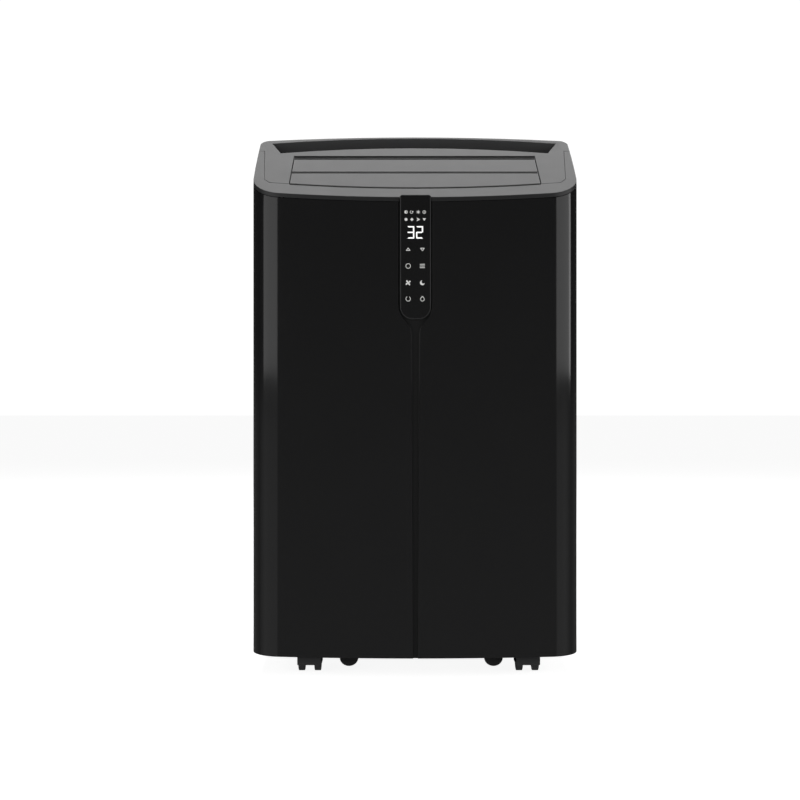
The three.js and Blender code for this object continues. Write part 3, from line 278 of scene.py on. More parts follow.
@dataclass
class Workshop:
    """Makes pieces, gives them their finish and fixes them to their CAD body.

    Attributes:
        finishes: The finishes to choose from.
        made: Names of the pieces made so far.
    """

    finishes: Finishes = field(default_factory=Finishes)
    made: list[str] = field(default_factory=list)

    def __post_init__(self) -> None:
        """Builds the materials and notes each CAD node's body and slot."""
        record = frame["record"]
        self.materials = self.finishes.materials()
        self.slot_of = {s["node"]: s["material_slot"] for s in record["subparts"]}
        self.body_of = {n: b for b, nodes in record["behaviour"]["bodies"].items() for n in nodes}

    def piece(self, name: str, bm: BMesh, finish: str, body: str = "cabinet", smooth: float = 35.0) -> Thing:
        """Turns a bmesh into a named piece that rides on a body.

        Args:
            name: Name of the piece.
            bm: Its shape in place, which is freed.
            finish: Field name of its finish.
            body: CAD body it moves with.
            smooth: Edges sharper than this many degrees stay sharp.

        Returns:
            The new object.
        """
        mesh = bpy.data.meshes.new(name)
        bm.to_mesh(mesh)
        bm.free()
        mesh.shade_smooth()
        mesh.set_sharp_from_angle(angle=math.radians(smooth))
        thing = placed(name, mesh)
        thing.data.materials.append(self.materials[finish])
        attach(thing, body)
        getattr(self.finishes, finish).slot
        self.made.append(name)
        LOG.info("made %s on %s", name, body)
        return thing

    def stand_in(self, node: str, bm: BMesh, finish: str, smooth: float = 40.0) -> Thing:
        """Turns a bmesh into the shown piece of a CAD node.

        Args:
            node: Name of the CAD node, which it replaces.
            bm: Its shape in place, which is freed.
            finish: Field name of its finish.
            smooth: Edges sharper than this many degrees stay sharp.

        Returns:
            The new object.
        """
        thing = self.piece(f"{node}_shown", bm, finish, self.body_of[node], smooth)
        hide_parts(node)
        return thing

    def dressed(self, node: str, edge: float, smooth: float = 35.0) -> Thing:
        """Makes the shown piece of a CAD node: its merged copy, with rounded edges.

        Args:
            node: Name of the CAD node.
            edge: Radius of the rounding, or 0 for none.
            smooth: Edges sharper than this many degrees are rounded or stay sharp.

        Returns:
            The new object, which replaces the node.
        """
        bm = bmesh.new()
        bm.from_mesh(frame["nodes"][node].data)
        bmesh.ops.remove_doubles(bm, verts=bm.verts, dist=0.002 * MM)
        bmesh.ops.dissolve_limit(
            bm, angle_limit=math.radians(0.2), verts=bm.verts, edges=bm.edges, use_dissolve_boundaries=False)
        bmesh.ops.recalc_face_normals(bm, faces=bm.faces)
        thing = self.stand_in(node, bm, self.slot_of[node], smooth)
        if edge:
            self.round_edges(thing, edge, smooth)
        return thing

    def round_edges(self, thing: Thing, edge: float, angle: float, segments: int = 2) -> None:
        """Adds a bevel to a piece's sharp edges.

        Args:
            thing: The piece.
            edge: Width of the bevel.
            angle: Least angle of a bevelled edge, in degrees.
            segments: Facets across the bevel.
        """
        bevel = thing.modifiers.new("edges", "BEVEL")
        bevel.width = edge
        bevel.segments = segments
        bevel.limit_method = "ANGLE"
        bevel.angle_limit = math.radians(angle)
        bevel.harden_normals = True
        bevel.use_clamp_overlap = True

    def thicken(self, thing: Thing, thick: float, offset: float = 0.0) -> None:
        """Gives a sheet its thickness, about its middle unless the offset says otherwise."""
        skin = thing.modifiers.new("thickness", "SOLIDIFY")
        skin.thickness = thick
        skin.offset = offset


def placed(name: str, data: bpy.types.ID) -> Thing:
    """Puts a new object that holds this data into the scene."""
    thing = bpy.data.objects.new(name, data)
    bpy.context.scene.collection.objects.link(thing)
    return thing


def fresh(out: dict[str, list], kind: type) -> list:
    """The new elements of one kind in what an extrusion returns."""
    return [e for e in out["geom"] if isinstance(e, kind)]


def front_top() -> float:
    """Height at which the sloping top meets the front wall."""
    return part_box("control_lens")[1].z - LENS_OVER_EDGE


def turned(profile: Sequence[Point], centre: Vector, axis: Axis, steps: int = 48) -> BMesh:
    """Spins a profile round an axis.

    Args:
        profile: Pairs of distance along the axis and radius.
        centre: A point on the axis, from which the distances run.
        axis: Direction of the axis.
        steps: Facets round the axis.

    Returns:
        The closed shape.
    """
    bm = bmesh.new()
    along = Vector([1.0 if i == axis.value else 0.0 for i in range(3)])
    out = Vector((0, 0, 1)) if axis is not Axis.Z else Vector((1, 0, 0))
    verts = [bm.verts.new(centre + along * a + out * r) for a, r in profile]
    edges = [bm.edges.new(pair) for pair in zip(verts, verts[1:])]
    bmesh.ops.spin(
        bm, geom=verts + edges, cent=centre, axis=along, angle=math.tau, steps=steps,
        use_merge=True, dvec=(0, 0, 0))
    bmesh.ops.remove_doubles(bm, verts=bm.verts, dist=0.01 * MM)
    bmesh.ops.recalc_face_normals(bm, faces=bm.faces)
    return bm


def plate(bm: BMesh, outline: Sequence[Point], front: float, thick: float) -> None:
    """Adds a flat plate that faces -Y.

    Args:
        bm: The bmesh to add to.
        outline: Corners as X and Z.
        front: Y of the plate's face.
        thick: Thickness behind the face.
    """
    face = bm.faces.new([bm.verts.new((x, front, z)) for x, z in outline])
    moved = fresh(bmesh.ops.extrude_face_region(bm, geom=[face], use_keep_orig=True), BMVert)
    bmesh.ops.translate(bm, verts=moved, vec=(0, thick, 0))


def block(bm: BMesh, low: Vector, high: Vector) -> list[BMVert]:
    """Adds a box between two corners and returns its vertices."""
    size = high - low
    at = Matrix.Translation((low + high) / 2) @ Matrix.Diagonal((size.x, size.y, size.z, 1))
    return bmesh.ops.create_cube(bm, size=1.0, matrix=at)["verts"]


def arc(cx: float, cz: float, r: float, start: float, stop: float, steps: int) -> list[Point]:
    """Points of an arc in the X-Z plane, angles in degrees."""
    turns = [math.radians(start + (stop - start) * i / steps) for i in range(steps + 1)]
    return [(cx + r * math.cos(t), cz + r * math.sin(t)) for t in turns]


# ---------------------------------------------------------------- cabinet


@dataclass
class Cabinet:
    """The four outer skins: front panel, rear shell, top trim and top cover.

    Attributes:
        shop: Where the pieces are made.
        corner: Radius of the front corners in plan.
        bow: Half angle over which the front wall bulges, in radians.
        side_bow: The same for a side wall.
        widest: Y of the widest point.
        wall: Thickness of the panel.
        groove_depth: Depth of the centre groove.
        rim_lean: How far a trim face's normal leans where its front rim, which gets painted shade, begins.
    """

    shop: Workshop
    corner: float = 46 * MM
    bow: float = math.radians(7.2)
    side_bow: float = math.radians(2.6)
    widest: float = -30 * MM
    wall: float = 3 * MM
    groove_depth: float = 2.8 * MM
    rim_lean: float = 0.3

    def build(self) -> None:
        """Makes the four skins."""
        self.front_panel()
        self.shop.dressed("rear_shell", 0.8 * MM)
        trim = self.shop.dressed("top_trim", 0.6 * MM)
        # The trim's faces that face forward get the darker copy: painted shade where the front rim turns away from
        # the light.
        trim.data.materials.append(self.shop.materials["trim_edge"])
        for face in trim.data.polygons:
            if face.normal.y < -self.rim_lean and face.normal.z < self.rim_lean:
                face.material_index = 1
        self.shop.dressed("top_cover", 0.45 * MM)

    def plan(self) -> list[Point]:
        """Half of the front panel's plan, from just beside the groove's zone to the seam, as X and Y."""
        low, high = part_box("front_panel")
        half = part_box("rear_shell")[1].x
        far = self.widest - low.y
        side, wall = math.tan(self.side_bow / 2), math.tan(self.bow / 2)
        cx = (half - self.corner - side * (far - self.corner)) / (1 - side * wall)
        cd = far - self.corner - wall * cx
        self.wall_radius = cx / math.sin(self.bow) + self.corner
        self.front = low.y
        side_radius = cd / math.sin(self.side_bow) + self.corner
        points = []
        for i in range(20):
            t = self.bow * (0.25 + 0.75 * i / 20)
            points.append((self.wall_radius * math.sin(t), low.y + self.wall_radius * (1 - math.cos(t))))
        for i in range(25):
            t = math.pi / 2 - self.bow - (math.pi / 2 - self.bow - self.side_bow) * i / 24
            x, d = cx + self.corner * math.cos(t), cd + self.corner * math.sin(t)
            points.append((x, self.widest - d))
        seam = self.widest - high.y
        t = math.asin(seam / side_radius)
        points.append((half - side_radius * (1 - math.cos(t)), high.y))
        return points

    def wall_y(self, x: float) -> float:
        """Y of the bulging front wall at a distance from its middle."""
        return self.front + self.wall_radius * (1 - math.cos(math.asin(x / self.wall_radius)))

    def half_width(self, z: float) -> float:
        """Half width of the groove, which opens into the pocket of the control lens.

        Args:
            z: Height above the floor.

        Returns:
            Distance from the middle to the groove's edge.
        """
        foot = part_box("control_lens")[0].z
        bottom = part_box("front_panel")[0].z
        stops = [
            (bottom, 3.75), (foot - 20 * MM, 6.0), (foot - 12 * MM, 7.4), (foot - 8 * MM, 9.4),
            (foot - 4 * MM, 12.5), (foot, 16.2), (foot + 5 * MM, 19.6), (foot + 10 * MM, 22.0),
            (foot + 16 * MM, 23.7), (foot + 22 * MM, 24.2), (1.0, 24.3),
        ]
        for (z0, w0), (z1, w1) in zip(stops, stops[1:]):
            if z <= z1:
                return (w0 + (w1 - w0) * max(0.0, z - z0) / (z1 - z0)) * MM
        return stops[-1][1] * MM

    def columns(self, z: float) -> list[Point]:
        """Half of a level line across the groove's zone, from the middle outwards.

        Args:
            z: Height of the line.

        Returns:
            Pairs of X and depth below the wall.
        """
        w = self.half_width(z)
        edge = [(-1.5, 1.0), (-1.05, 1.0), (-0.75, 0.9), (-0.6, 0.65),
                (-0.45, 0.35), (-0.3, 0.1), (0.0, 0.0), (0.4, 0.0)]
        inner = max(w - 2.0 * MM, 0.5 * MM)
        points = [(0.0, 1.0), (inner * 0.5, 1.0)]
        squeeze = min(1.0, (w - 0.8 * MM) / (2.6 * MM))
        for offset, share in edge:
            reach = offset * (squeeze if offset < 0 else 1.0)
            points.append((w + reach * MM, share))
        start, stop = w + 0.8 * MM, self.wall_radius * math.sin(self.bow * 0.25)
        points += [(start + (stop - start) * i / 6, 0.0) for i in (1, 2, 3, 4, 5)]
        return [(x, depth * self.groove_depth) for x, depth in points]

    def levels(self) -> list[float]:
        """Heights of the panel's level lines up to where the top edge starts to lean."""
        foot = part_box("control_lens")[0].z
        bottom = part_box("front_panel")[0].z
        below = [bottom + (foot - 26 * MM - bottom) * i / 8 for i in range(9)]
        funnel = [foot - 24 * MM + 2 * MM * i for i in range(24)]
        return below + funnel

    def front_panel(self) -> None:
        """Makes the front panel from a level line that is drawn upwards, with painted shade on the groove's sunk
        floor.
        """
        side = self.plan()
        bm = bmesh.new()
        levels = self.levels()
        lens_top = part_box("control_lens")[1].z
        high = [levels[-1] + (lens_top - levels[-1]) * i / 6 for i in range(1, 7)]
        self.order = self._points(levels[0], side)
        ring = [bm.verts.new((x, y, levels[0])) for x, y in self.order]
        edges = [bm.edges.new(pair) for pair in zip(ring, ring[1:])]
        for row in levels[1:] + high:
            out = bmesh.ops.extrude_edge_only(bm, edges=edges)
            edges = fresh(out, BMEdge)
            self._place(fresh(out, BMVert), row, side)
        self._lean(bm, levels[-1], lens_top)
        if sum(f.normal.y * f.calc_area() for f in bm.faces) > 0:
            bmesh.ops.reverse_faces(bm, faces=bm.faces)
        panel = self.shop.stand_in("front_panel", bm, "gloss_black", 50.0)
        # The groove's sunk faces get the darker copy: painted shade in the recess.
        panel.data.materials.append(self.shop.materials["groove_matt"])
        for face in panel.data.polygons:
            sunk = face.center.y - self.wall_y(face.center.x)
            if abs(face.center.x) < POCKET_HALF and sunk > 0.3 * self.groove_depth:
                face.material_index = 1
        self.shop.thicken(panel, self.wall, -1.0)
        self.shop.round_edges(panel, 0.8 * MM, 60.0)

    def _points(self, z: float, side: Sequence[Point]) -> list[Point]:
        """A whole level line from left to right, as X and Y."""
        near = [(x, self.wall_y(x) + depth) for x, depth in self.columns(z)]
        right = near + list(side)
        left = [(-x, y) for x, y in reversed(right[1:])]
        return left + right

    def _place(self, verts: Iterable[BMVert], z: float, side: Sequence[Point]) -> None:
        """Moves the vertices of a freshly drawn level line into place.

        Args:
            verts: The line's vertices, which still stand where the line below does.
            z: Height of the line.
            side: The plan beyond the groove's zone.
        """
        points = self._points(z, side)
        ranked = sorted(verts, key=lambda v: self._rank(v.co))
        for vert, (x, y) in zip(ranked, points):
            vert.co = (x, y, z)
        self.order = points

    def _rank(self, at: Vector) -> int:
        """Place of a vertex in the level line below."""
        return min(
            range(len(self.order)),
            key=lambda i: (self.order[i][0] - at.x) ** 2 + (self.order[i][1] - at.y) ** 2)

    def _lean(self, bm: BMesh, start: float, lens_top: float) -> None:
        """Leans the upper level lines back, so that the top edge follows the sloping top.

        Args:
            bm: The panel.
            start: Height above which the lines lean.
            lens_top: Height of the highest line before it leans.
        """
        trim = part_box("top_trim")[0].z
        under = (TOP_THICK + SEAM) / math.cos(SLOPE)
        edge_z = front_top() - under
        for vert in bm.verts:
            if vert.co.z > start + MM:
                share = (vert.co.z - start) / (lens_top - start)
                sunk = self.groove_depth if abs(vert.co.x) < POCKET_HALF else 0.0
                outer = max(vert.co.y - sunk, self.front) if sunk else vert.co.y
                top = edge_z + (outer - self.front) * math.tan(SLOPE)
                vert.co.z = start + share * (max(top, trim) - start)


# ---------------------------------------------------------------- control strip


class Icon(Enum):
    """Generic signs on the control lens."""

    ECLIPSE = auto()
    ORBIT = auto()
    STAR = auto()
    TARGET = auto()
    HEXAGON = auto()
    DIAMOND = auto()
    CHEVRON = auto()
    ARROWHEAD = auto()
    UP = auto()
    DOWN = auto()
    BARS = auto()
    FAN = auto()
    MOON = auto()
    OPEN_RING = auto()
    DROP = auto()
    CIRCLE = auto()


@dataclass
class Ink:
    """Flat signs drawn just in front of a plane that faces -Y.

    Attributes:
        face: Y of the plane.
        lift: Distance of the signs' front from the plane.
        thick: Thickness of the signs.
        bm: The bmesh that gathers them.
    """

    face: float
    lift: float = 0.08 * MM
    thick: float = 0.1 * MM
    bm: BMesh = field(default_factory=bmesh.new)

    def flat(self, outline: Sequence[Point]) -> None:
        """Adds a filled shape, its corners given as X and Z."""
        plate(self.bm, outline, self.face - self.lift, self.thick)

    def disc(self, x: float, z: float, r: float, sides: int = 20) -> None:
        """Adds a filled round or many-sided dot."""
        self.flat(arc(x, z, r, 90, 90 + 360 - 360 / sides, sides - 1))

    def line(self, points: Sequence[Point], wide: float, closed: bool = False) -> None:
        """Adds a line of even width with round joints.

        Args:
            points: Corners as X and Z, in metres.
            wide: Width of the line.
            closed: Whether the last corner joins the first.
        """
        ends = list(points) + ([points[0]] if closed else [])
        for (x0, z0), (x1, z1) in zip(ends, ends[1:]):
            long = math.hypot(x1 - x0, z1 - z0)
            if long < 1e-6:
                continue
            sx, sz = -(z1 - z0) / long * wide / 2, (x1 - x0) / long * wide / 2
            self.flat([(x0 + sx, z0 + sz), (x1 + sx, z1 + sz), (x1 - sx, z1 - sz), (x0 - sx, z0 - sz)])
        for x, z in ends:
            self.disc(x, z, wide / 2, 10)

    def bar(self, key: str, x: float, z: float, wide: float, tall: float, b: float) -> None:
        """Adds one bar of a seven-segment digit, with mitred ends.

        Args:
            key: The bar's usual letter, a to g.
            x: Left edge of the digit.
            z: Foot of the digit.
            wide: Width of the digit.
            tall: Height of the digit.
            b: Width of the bar.
        """
        g = 0.15 * MM
        right, top, mid = x + wide, z + tall, z + tall / 2
        shapes = {
            "a": [(x + g, top), (right - g, top), (right - b - g, top - b), (x + b + g, top - b)],
            "d": [(x + g, z), (x + b + g, z + b), (right - b - g, z + b), (right - g, z)],
            "g": [(x + g, mid), (x + b / 2, mid + b / 2), (right - b, mid + b / 2),
                  (right - b / 2 - g, mid), (right - b, mid - b / 2), (x + b / 2, mid - b / 2)],
            "b": [(right, top - g), (right, mid + g), (right - b / 2, mid + g),
                  (right - b, mid + b / 2 + g), (right - b, top - b - g)],
            "c": [(right, z + g), (right - b, z + b + g), (right - b, mid - b / 2 - g),
                  (right - b / 2, mid - g), (right, mid - g)],
            "e": [(x, z + g), (x, mid - g), (x + b / 2, mid - g), (x + b, mid - b / 2 - g), (x + b, z + b + g)],
        }
        self.flat(shapes[key])

    def sign(self, icon: Icon, x: float, z: float, r: float, w: float) -> None:
        """Adds one generic sign.

        Args:
            icon: Which sign.
            x: X of its middle.
            z: Z of its middle.
            r: Half its size.
            w: Width of its lines.
        """

        def at(*spots: Point) -> list[Point]:
            """Places spots that are given in half sizes from the middle."""
            return [(x + r * a, z + r * b) for a, b in spots]

        ring = arc(x, z, r - w / 2, 0, 345, 23)
        draw: dict[Icon, Callable[[], None]] = {
            Icon.ECLIPSE: lambda: (self.line(ring, w, True), self.disc(x - r * 0.3, z, r * 0.62)),
            Icon.ORBIT: lambda: (self.line(arc(x - r * 0.2, z, r * 0.8, 110, 320, 12), w),
                                 self.disc(x + r * 0.45, z + r * 0.2, r * 0.5, 4)),
            Icon.STAR: lambda: (self._spokes(x, z, r, w, 3), self.disc(x, z, r * 0.5)),
            Icon.TARGET: lambda: (self.line(ring, w, True), self.disc(x, z, r * 0.3)),
            Icon.HEXAGON: lambda: self.disc(x, z, r * 0.95, 6),
            Icon.DIAMOND: lambda: self.disc(x, z, r, 4),
            Icon.CHEVRON: lambda: self.line(
                at((-0.7, 0.8), (0.8, 0.0), (-0.7, -0.8), (-0.1, 0.0)), w * 1.3, True),
            Icon.ARROWHEAD: lambda: self.flat(at((-1, 0.7), (0, -0.9), (1, 0.7))),
            Icon.UP: lambda: self.line(at((-1, -0.6), (0, 0.7), (1, -0.6)), w, True),
            Icon.DOWN: lambda: self.line(at((-1, 0.6), (0, -0.7), (1, 0.6)), w, True),
            Icon.BARS: lambda: [self.line(at((-1, s), (1, s)), w) for s in (-0.74, 0.0, 0.74)],
            Icon.FAN: lambda: (self._blades(x, z, r, 4), self.disc(x, z, r * 0.35)),
            Icon.MOON: lambda: self.flat(
                arc(x, z, r, 95, 345, 20) + arc(x + r * 0.42, z + r * 0.38, r * 0.72, 300, 140, 12)),
            Icon.OPEN_RING: lambda: self.line(arc(x, z, r - w / 2, 125, 415, 20), w),
            Icon.DROP: lambda: self.line(
                arc(x, z - r * 0.15, r * 0.75, 140, 400, 16) + [(x, z + r)], w, True),
            Icon.CIRCLE: lambda: self.line(ring, w, True),
        }
        draw[icon]()

    def _spokes(self, x: float, z: float, r: float, w: float, count: int) -> None:
        """Adds lines that cross in the middle."""
        for i in range(count):
            t = math.pi * i / count + math.pi / 2
            dx, dz = r * math.cos(t), r * math.sin(t)
            self.line([(x - dx, z - dz), (x + dx, z + dz)], w)

    def _blades(self, x: float, z: float, r: float, count: int) -> None:
        """Adds leaf-shaped fan blades round a middle."""
        for i in range(count):
            t = math.tau * i / count + 0.5
            mid = (x + r * 0.78 * math.cos(t + 0.55), z + r * 0.78 * math.sin(t + 0.55))
            tip = (x + r * math.cos(t), z + r * math.sin(t))
            other = (x + r * 0.5 * math.cos(t - 0.45), z + r * 0.5 * math.sin(t - 0.45))
            self.flat([(x, z), other, tip, mid])


@dataclass
class ControlStrip:
    """The control lens with its rim of painted highlight, its carrier, its lit signs and its two digits.

    Attributes:
        shop: Where the pieces are made.
        corner: Radius of the two round corners at the foot.
        top_corner: Radius of the two small corners at the top.
        rim: Width of the lighter ring round the lens, a painted highlight on the lens's edge.
        stroke: Width of a small sign's lines.
        touch_stroke: Width of a touch sign's lines.
        bar: Width of a digit's bars.
    """

    shop: Workshop
    corner: float = 17 * MM
    top_corner: float = 3 * MM
    rim: float = 1.0 * MM
    stroke: float = 0.75 * MM
    touch_stroke: float = 0.9 * MM
    bar: float = 1.75 * MM

    def build(self) -> None:
        """Makes the lens, its rim of painted highlight, its carrier and the signs."""
        self.low, self.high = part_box("control_lens")
        self.face, self.middle = self.low.y, (self.low.x + self.high.x) / 2
        bm = bmesh.new()
        plate(bm, self.outline(-self.rim), self.face, self.high.y - self.face)
        lens = self._solid("control_lens_shown", bm, "lens")
        self.shop.round_edges(lens, 0.35 * MM, 60.0, 3)
        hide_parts("control_lens")
        self._rim()
        self._carrier()
        self._digits()
        self._signs()
        self.shop.dressed("display_board", 0.3 * MM)

    def outline(self, grow: float) -> list[Point]:
        """The lens outline, with small corners at the top and a round foot.

        Args:
            grow: Distance by which it grows outwards.

        Returns:
            Corners as X and Z.
        """
        half = (self.high.x - self.low.x) / 2 + grow
        r = self.corner + grow
        x, z = half - r, self.low.z + self.corner
        foot = arc(-x, z, r, 180, 270, 14) + arc(x, z, r, 270, 360, 14)
        top_r = self.top_corner + grow
        side, head = half - top_r, self.high.z + grow - top_r
        return [*arc(side, head, top_r, 0, 90, 4), *arc(-side, head, top_r, 90, 180, 4), *foot]

    def _solid(self, name: str, bm: BMesh, finish: str) -> Thing:
        """Turns a closed shape into a piece of the cabinet, with its faces outwards."""
        bmesh.ops.recalc_face_normals(bm, faces=bm.faces)
        return self.shop.piece(name, bm, finish)

    def _rim(self) -> None:
        """Makes the thin lighter ring round the lens, a painted highlight on its edge: a plate that is inset, with
        its middle taken out.
        """
        bm = bmesh.new()
        lift = 0.05 * MM
        face = bm.faces.new([bm.verts.new((x, self.face - lift, z)) for x, z in self.outline(0.0)])
        face.normal_update()
        bmesh.ops.inset_region(bm, faces=[face], thickness=self.rim, use_boundary=True, use_even_offset=True)
        bmesh.ops.delete(bm, geom=[face], context="FACES_ONLY")
        moved = fresh(bmesh.ops.extrude_face_region(bm, geom=bm.faces[:]), BMVert)
        bmesh.ops.translate(bm, verts=moved, vec=(0, self.high.y - self.face, 0))
        ring = self._solid("control_lens_rim", bm, "lens_rim")
        self.shop.round_edges(ring, 0.3 * MM, 60.0, 2)

    def _carrier(self) -> None:
        """Makes the block that carries the lens over the pocket's floor."""
        bm = bmesh.new()
        below_edge = self.high.z - 8 * MM
        shape = [(x, min(z, below_edge)) for x, z in self.outline(-3.0 * MM)]
        plate(bm, shape, self.high.y, 1.8 * MM)
        self._solid("control_lens_carrier", bm, "black_plastic")

    def _digits(self) -> None:
        """Makes the digits 3 and 2 from seven-segment bars."""
        ink = Ink(self.face)
        base, tall, wide = self.high.z - 61.0 * MM, 17.3 * MM, 9.7 * MM
        for left, lit in ((self.middle - 11.4 * MM, "abgcd"), (self.middle + 0.9 * MM, "abged")):
            for key in lit:
                ink.bar(key, left, base, wide, tall, self.bar)
        self._solid("display_digits", ink.bm, "lit_digits")

    def _signs(self) -> None:
        """Makes the two rows of small signs and the two columns of touch signs."""
        top = self.high.z
        small = Ink(self.face)
        columns = [-13.2 * MM, -5.0 * MM, 3.8 * MM, 12.2 * MM]
        rows = [
            (top - 24.0 * MM, (Icon.ECLIPSE, Icon.ORBIT, Icon.STAR, Icon.TARGET)),
            (top - 34.3 * MM, (Icon.HEXAGON, Icon.DIAMOND, Icon.CHEVRON, Icon.ARROWHEAD)),
        ]
        for z, signs in rows:
            for x, sign in zip(columns, signs):
                small.sign(sign, self.middle + x, z, 2.4 * MM, self.stroke)
        self._solid("indicator_signs", small.bm, "sign_print")
        touch = Ink(self.face)
        pairs = [(76.0, (Icon.UP, 2.6), (Icon.DOWN, 2.6)), (99.2, (Icon.CIRCLE, 3.7), (Icon.BARS, 3.2)),
                 (122.6, (Icon.FAN, 4.4), (Icon.MOON, 3.4)), (145.0, (Icon.OPEN_RING, 3.6), (Icon.DROP, 3.5))]
        for drop, *signs in pairs:
            for x, (sign, half) in zip((-10.2 * MM, 9.6 * MM), signs):
                touch.sign(sign, self.middle + x, top - drop * MM, half * MM, self.touch_stroke)
        self._solid("touch_signs", touch.bm, "sign_print")


# ---------------------------------------------------------------- top outlet


@dataclass
class Outlet:
    """The louvre blades, their link and motor, the seal and the strips of painted seam shade round them, the duct
    and its vanes.

    Attributes:
        shop: Where the pieces are made.
        half: Half width of the seal's path.
        gap: Distance from the seal's path to a blade's side.
        seal_run: Length of the seal's sides.
        seal_tall: Height of the seal.
        rear_lip: Width of the strip of painted seam shade on the rear blade.
        front_blade_lip: Width of the strip of painted seam shade on the front blade.
        trim_lip: Width of the strip of painted seam shade in the trim.
        rear_edge: Distance up the slope from the front wall to the opening's rear edge.
        uphill: Direction up the sloping top.
        outward: Direction square to the sloping top.
    """

    shop: Workshop
    half: float = 179.9 * MM
    gap: float = 1.4 * MM
    seal_run: float = 104 * MM
    seal_tall: float = 4.2 * MM
    rear_lip: float = 7.0 * MM
    front_blade_lip: float = 4.4 * MM
    trim_lip: float = 3.2 * MM
    rear_edge: float = 122.8 * MM / math.cos(SLOPE) + 7 * MM
    uphill: Vector = field(default_factory=lambda: Vector((0, math.cos(SLOPE), math.sin(SLOPE))))
    outward: Vector = field(default_factory=lambda: Vector((0, -math.sin(SLOPE), math.cos(SLOPE))))

    def build(self) -> None:
        """Makes every piece of the outlet."""
        for node in ("louvre_blade_front", "louvre_blade_rear"):
            self.shop.dressed(node, 0.25 * MM)
        self.seal()
        # Black strips of painted shade that widen the dark seams at the blades' edges.
        self.lip("louvre_blade_rear", self.rear_lip)
        self.lip("louvre_blade_front", self.front_blade_lip)
        self.front_lip()
        for node in ("louvre_link", "louvre_motor", "vane_link", "outlet_duct"):
            self.shop.dressed(node, 0.5 * MM)
        for i in range(1, 6):
            self.shop.dressed(f"vane_{i}", 0.4 * MM)

    def seal(self) -> None:
        """Makes the thin black seal that lines the outlet's side and rear edges."""
        cover = self.foot() + self.uphill * (self.rear_edge - STRIP_SET_BACK)
        half = self.half
        foot = cover - self.uphill * self.seal_run
        ends = [(-half, foot), (-half, cover), (half, cover), (half, foot)]
        path = [Vector((x, 0, 0)) + place for x, place in ends]
        bm = bmesh.new()
        verts = [bm.verts.new(place - self.outward * STRIP_SET_BACK) for place in path]
        edges = [bm.edges.new(pair) for pair in zip(verts, verts[1:])]
        self.strip("outlet_seal", bm, edges, -self.outward * self.seal_tall, 0.4 * MM)

    def foot(self) -> Vector:
        """The middle of the line in which the sloping top meets the front wall."""
        return Vector((0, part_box("front_panel")[0].y, front_top()))

    def lip(self, node: str, wide: float) -> None:
        """Makes a black strip of painted shade along a blade's rear edge, which widens the dark seam behind it.

        Args:
            node: Name of the blade's CAD node.
            wide: Width of the strip.
        """
        foot = self.foot()
        run = (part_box(node)[1].z - foot.z) / math.sin(SLOPE) - STRIP_SET_BACK
        edge = foot + self.uphill * run
        half = self.half - self.gap
        bm = bmesh.new()
        verts = [bm.verts.new(edge + Vector((x, 0, 0)) - self.outward * 0.05 * MM) for x in (-half, half)]
        body = self.shop.body_of[node]
        self.strip(f"{node}_lip", bm, [bm.edges.new(verts)], -self.uphill * wide, body=body)

    def front_lip(self) -> None:
        """Makes a black strip of painted shade on the trim, along the front blade's front edge, which widens the
        dark seam there.
        """
        foot = self.foot()
        nearest = {}
        for vert in frame["nodes"]["louvre_blade_front"].data.vertices:
            away = vert.co - foot
            if away.dot(self.outward) > -0.1 * MM:
                x = round(vert.co.x, 4)
                nearest[x] = min(nearest.get(x, 1.0), away.dot(self.uphill))
        bm = bmesh.new()
        ahead = 1.5 * MM
        places = [
            foot + Vector((x, 0, 0)) + self.uphill * (run - ahead) for x, run in sorted(nearest.items())]
        verts = [bm.verts.new(place + self.outward * 0.1 * MM) for place in places]
        edges = [bm.edges.new(pair) for pair in zip(verts, verts[1:])]
        self.strip("trim_lip", bm, edges, -self.uphill * self.trim_lip)

    def strip(
        self, name: str, bm: BMesh, edges: list[BMEdge], way: Vector,
        thick: float = 0.25 * MM, body: str = "cabinet",
    ) -> None:
        """Draws a line of edges out into a thin black strip: the rubber seal, and the strips of painted seam
        shade.

        Args:
            name: Name of the piece.
            bm: The bmesh that holds the line.
            edges: The line's edges.
            way: How far and where they are drawn.
            thick: Thickness of the strip.
            body: CAD body it moves with.
        """
        moved = fresh(bmesh.ops.extrude_edge_only(bm, edges=edges), BMVert)
        bmesh.ops.translate(bm, verts=moved, vec=way)
        self.shop.thicken(self.shop.piece(name, bm, "seal_rubber", body), thick)


# ---------------------------------------------------------------- back


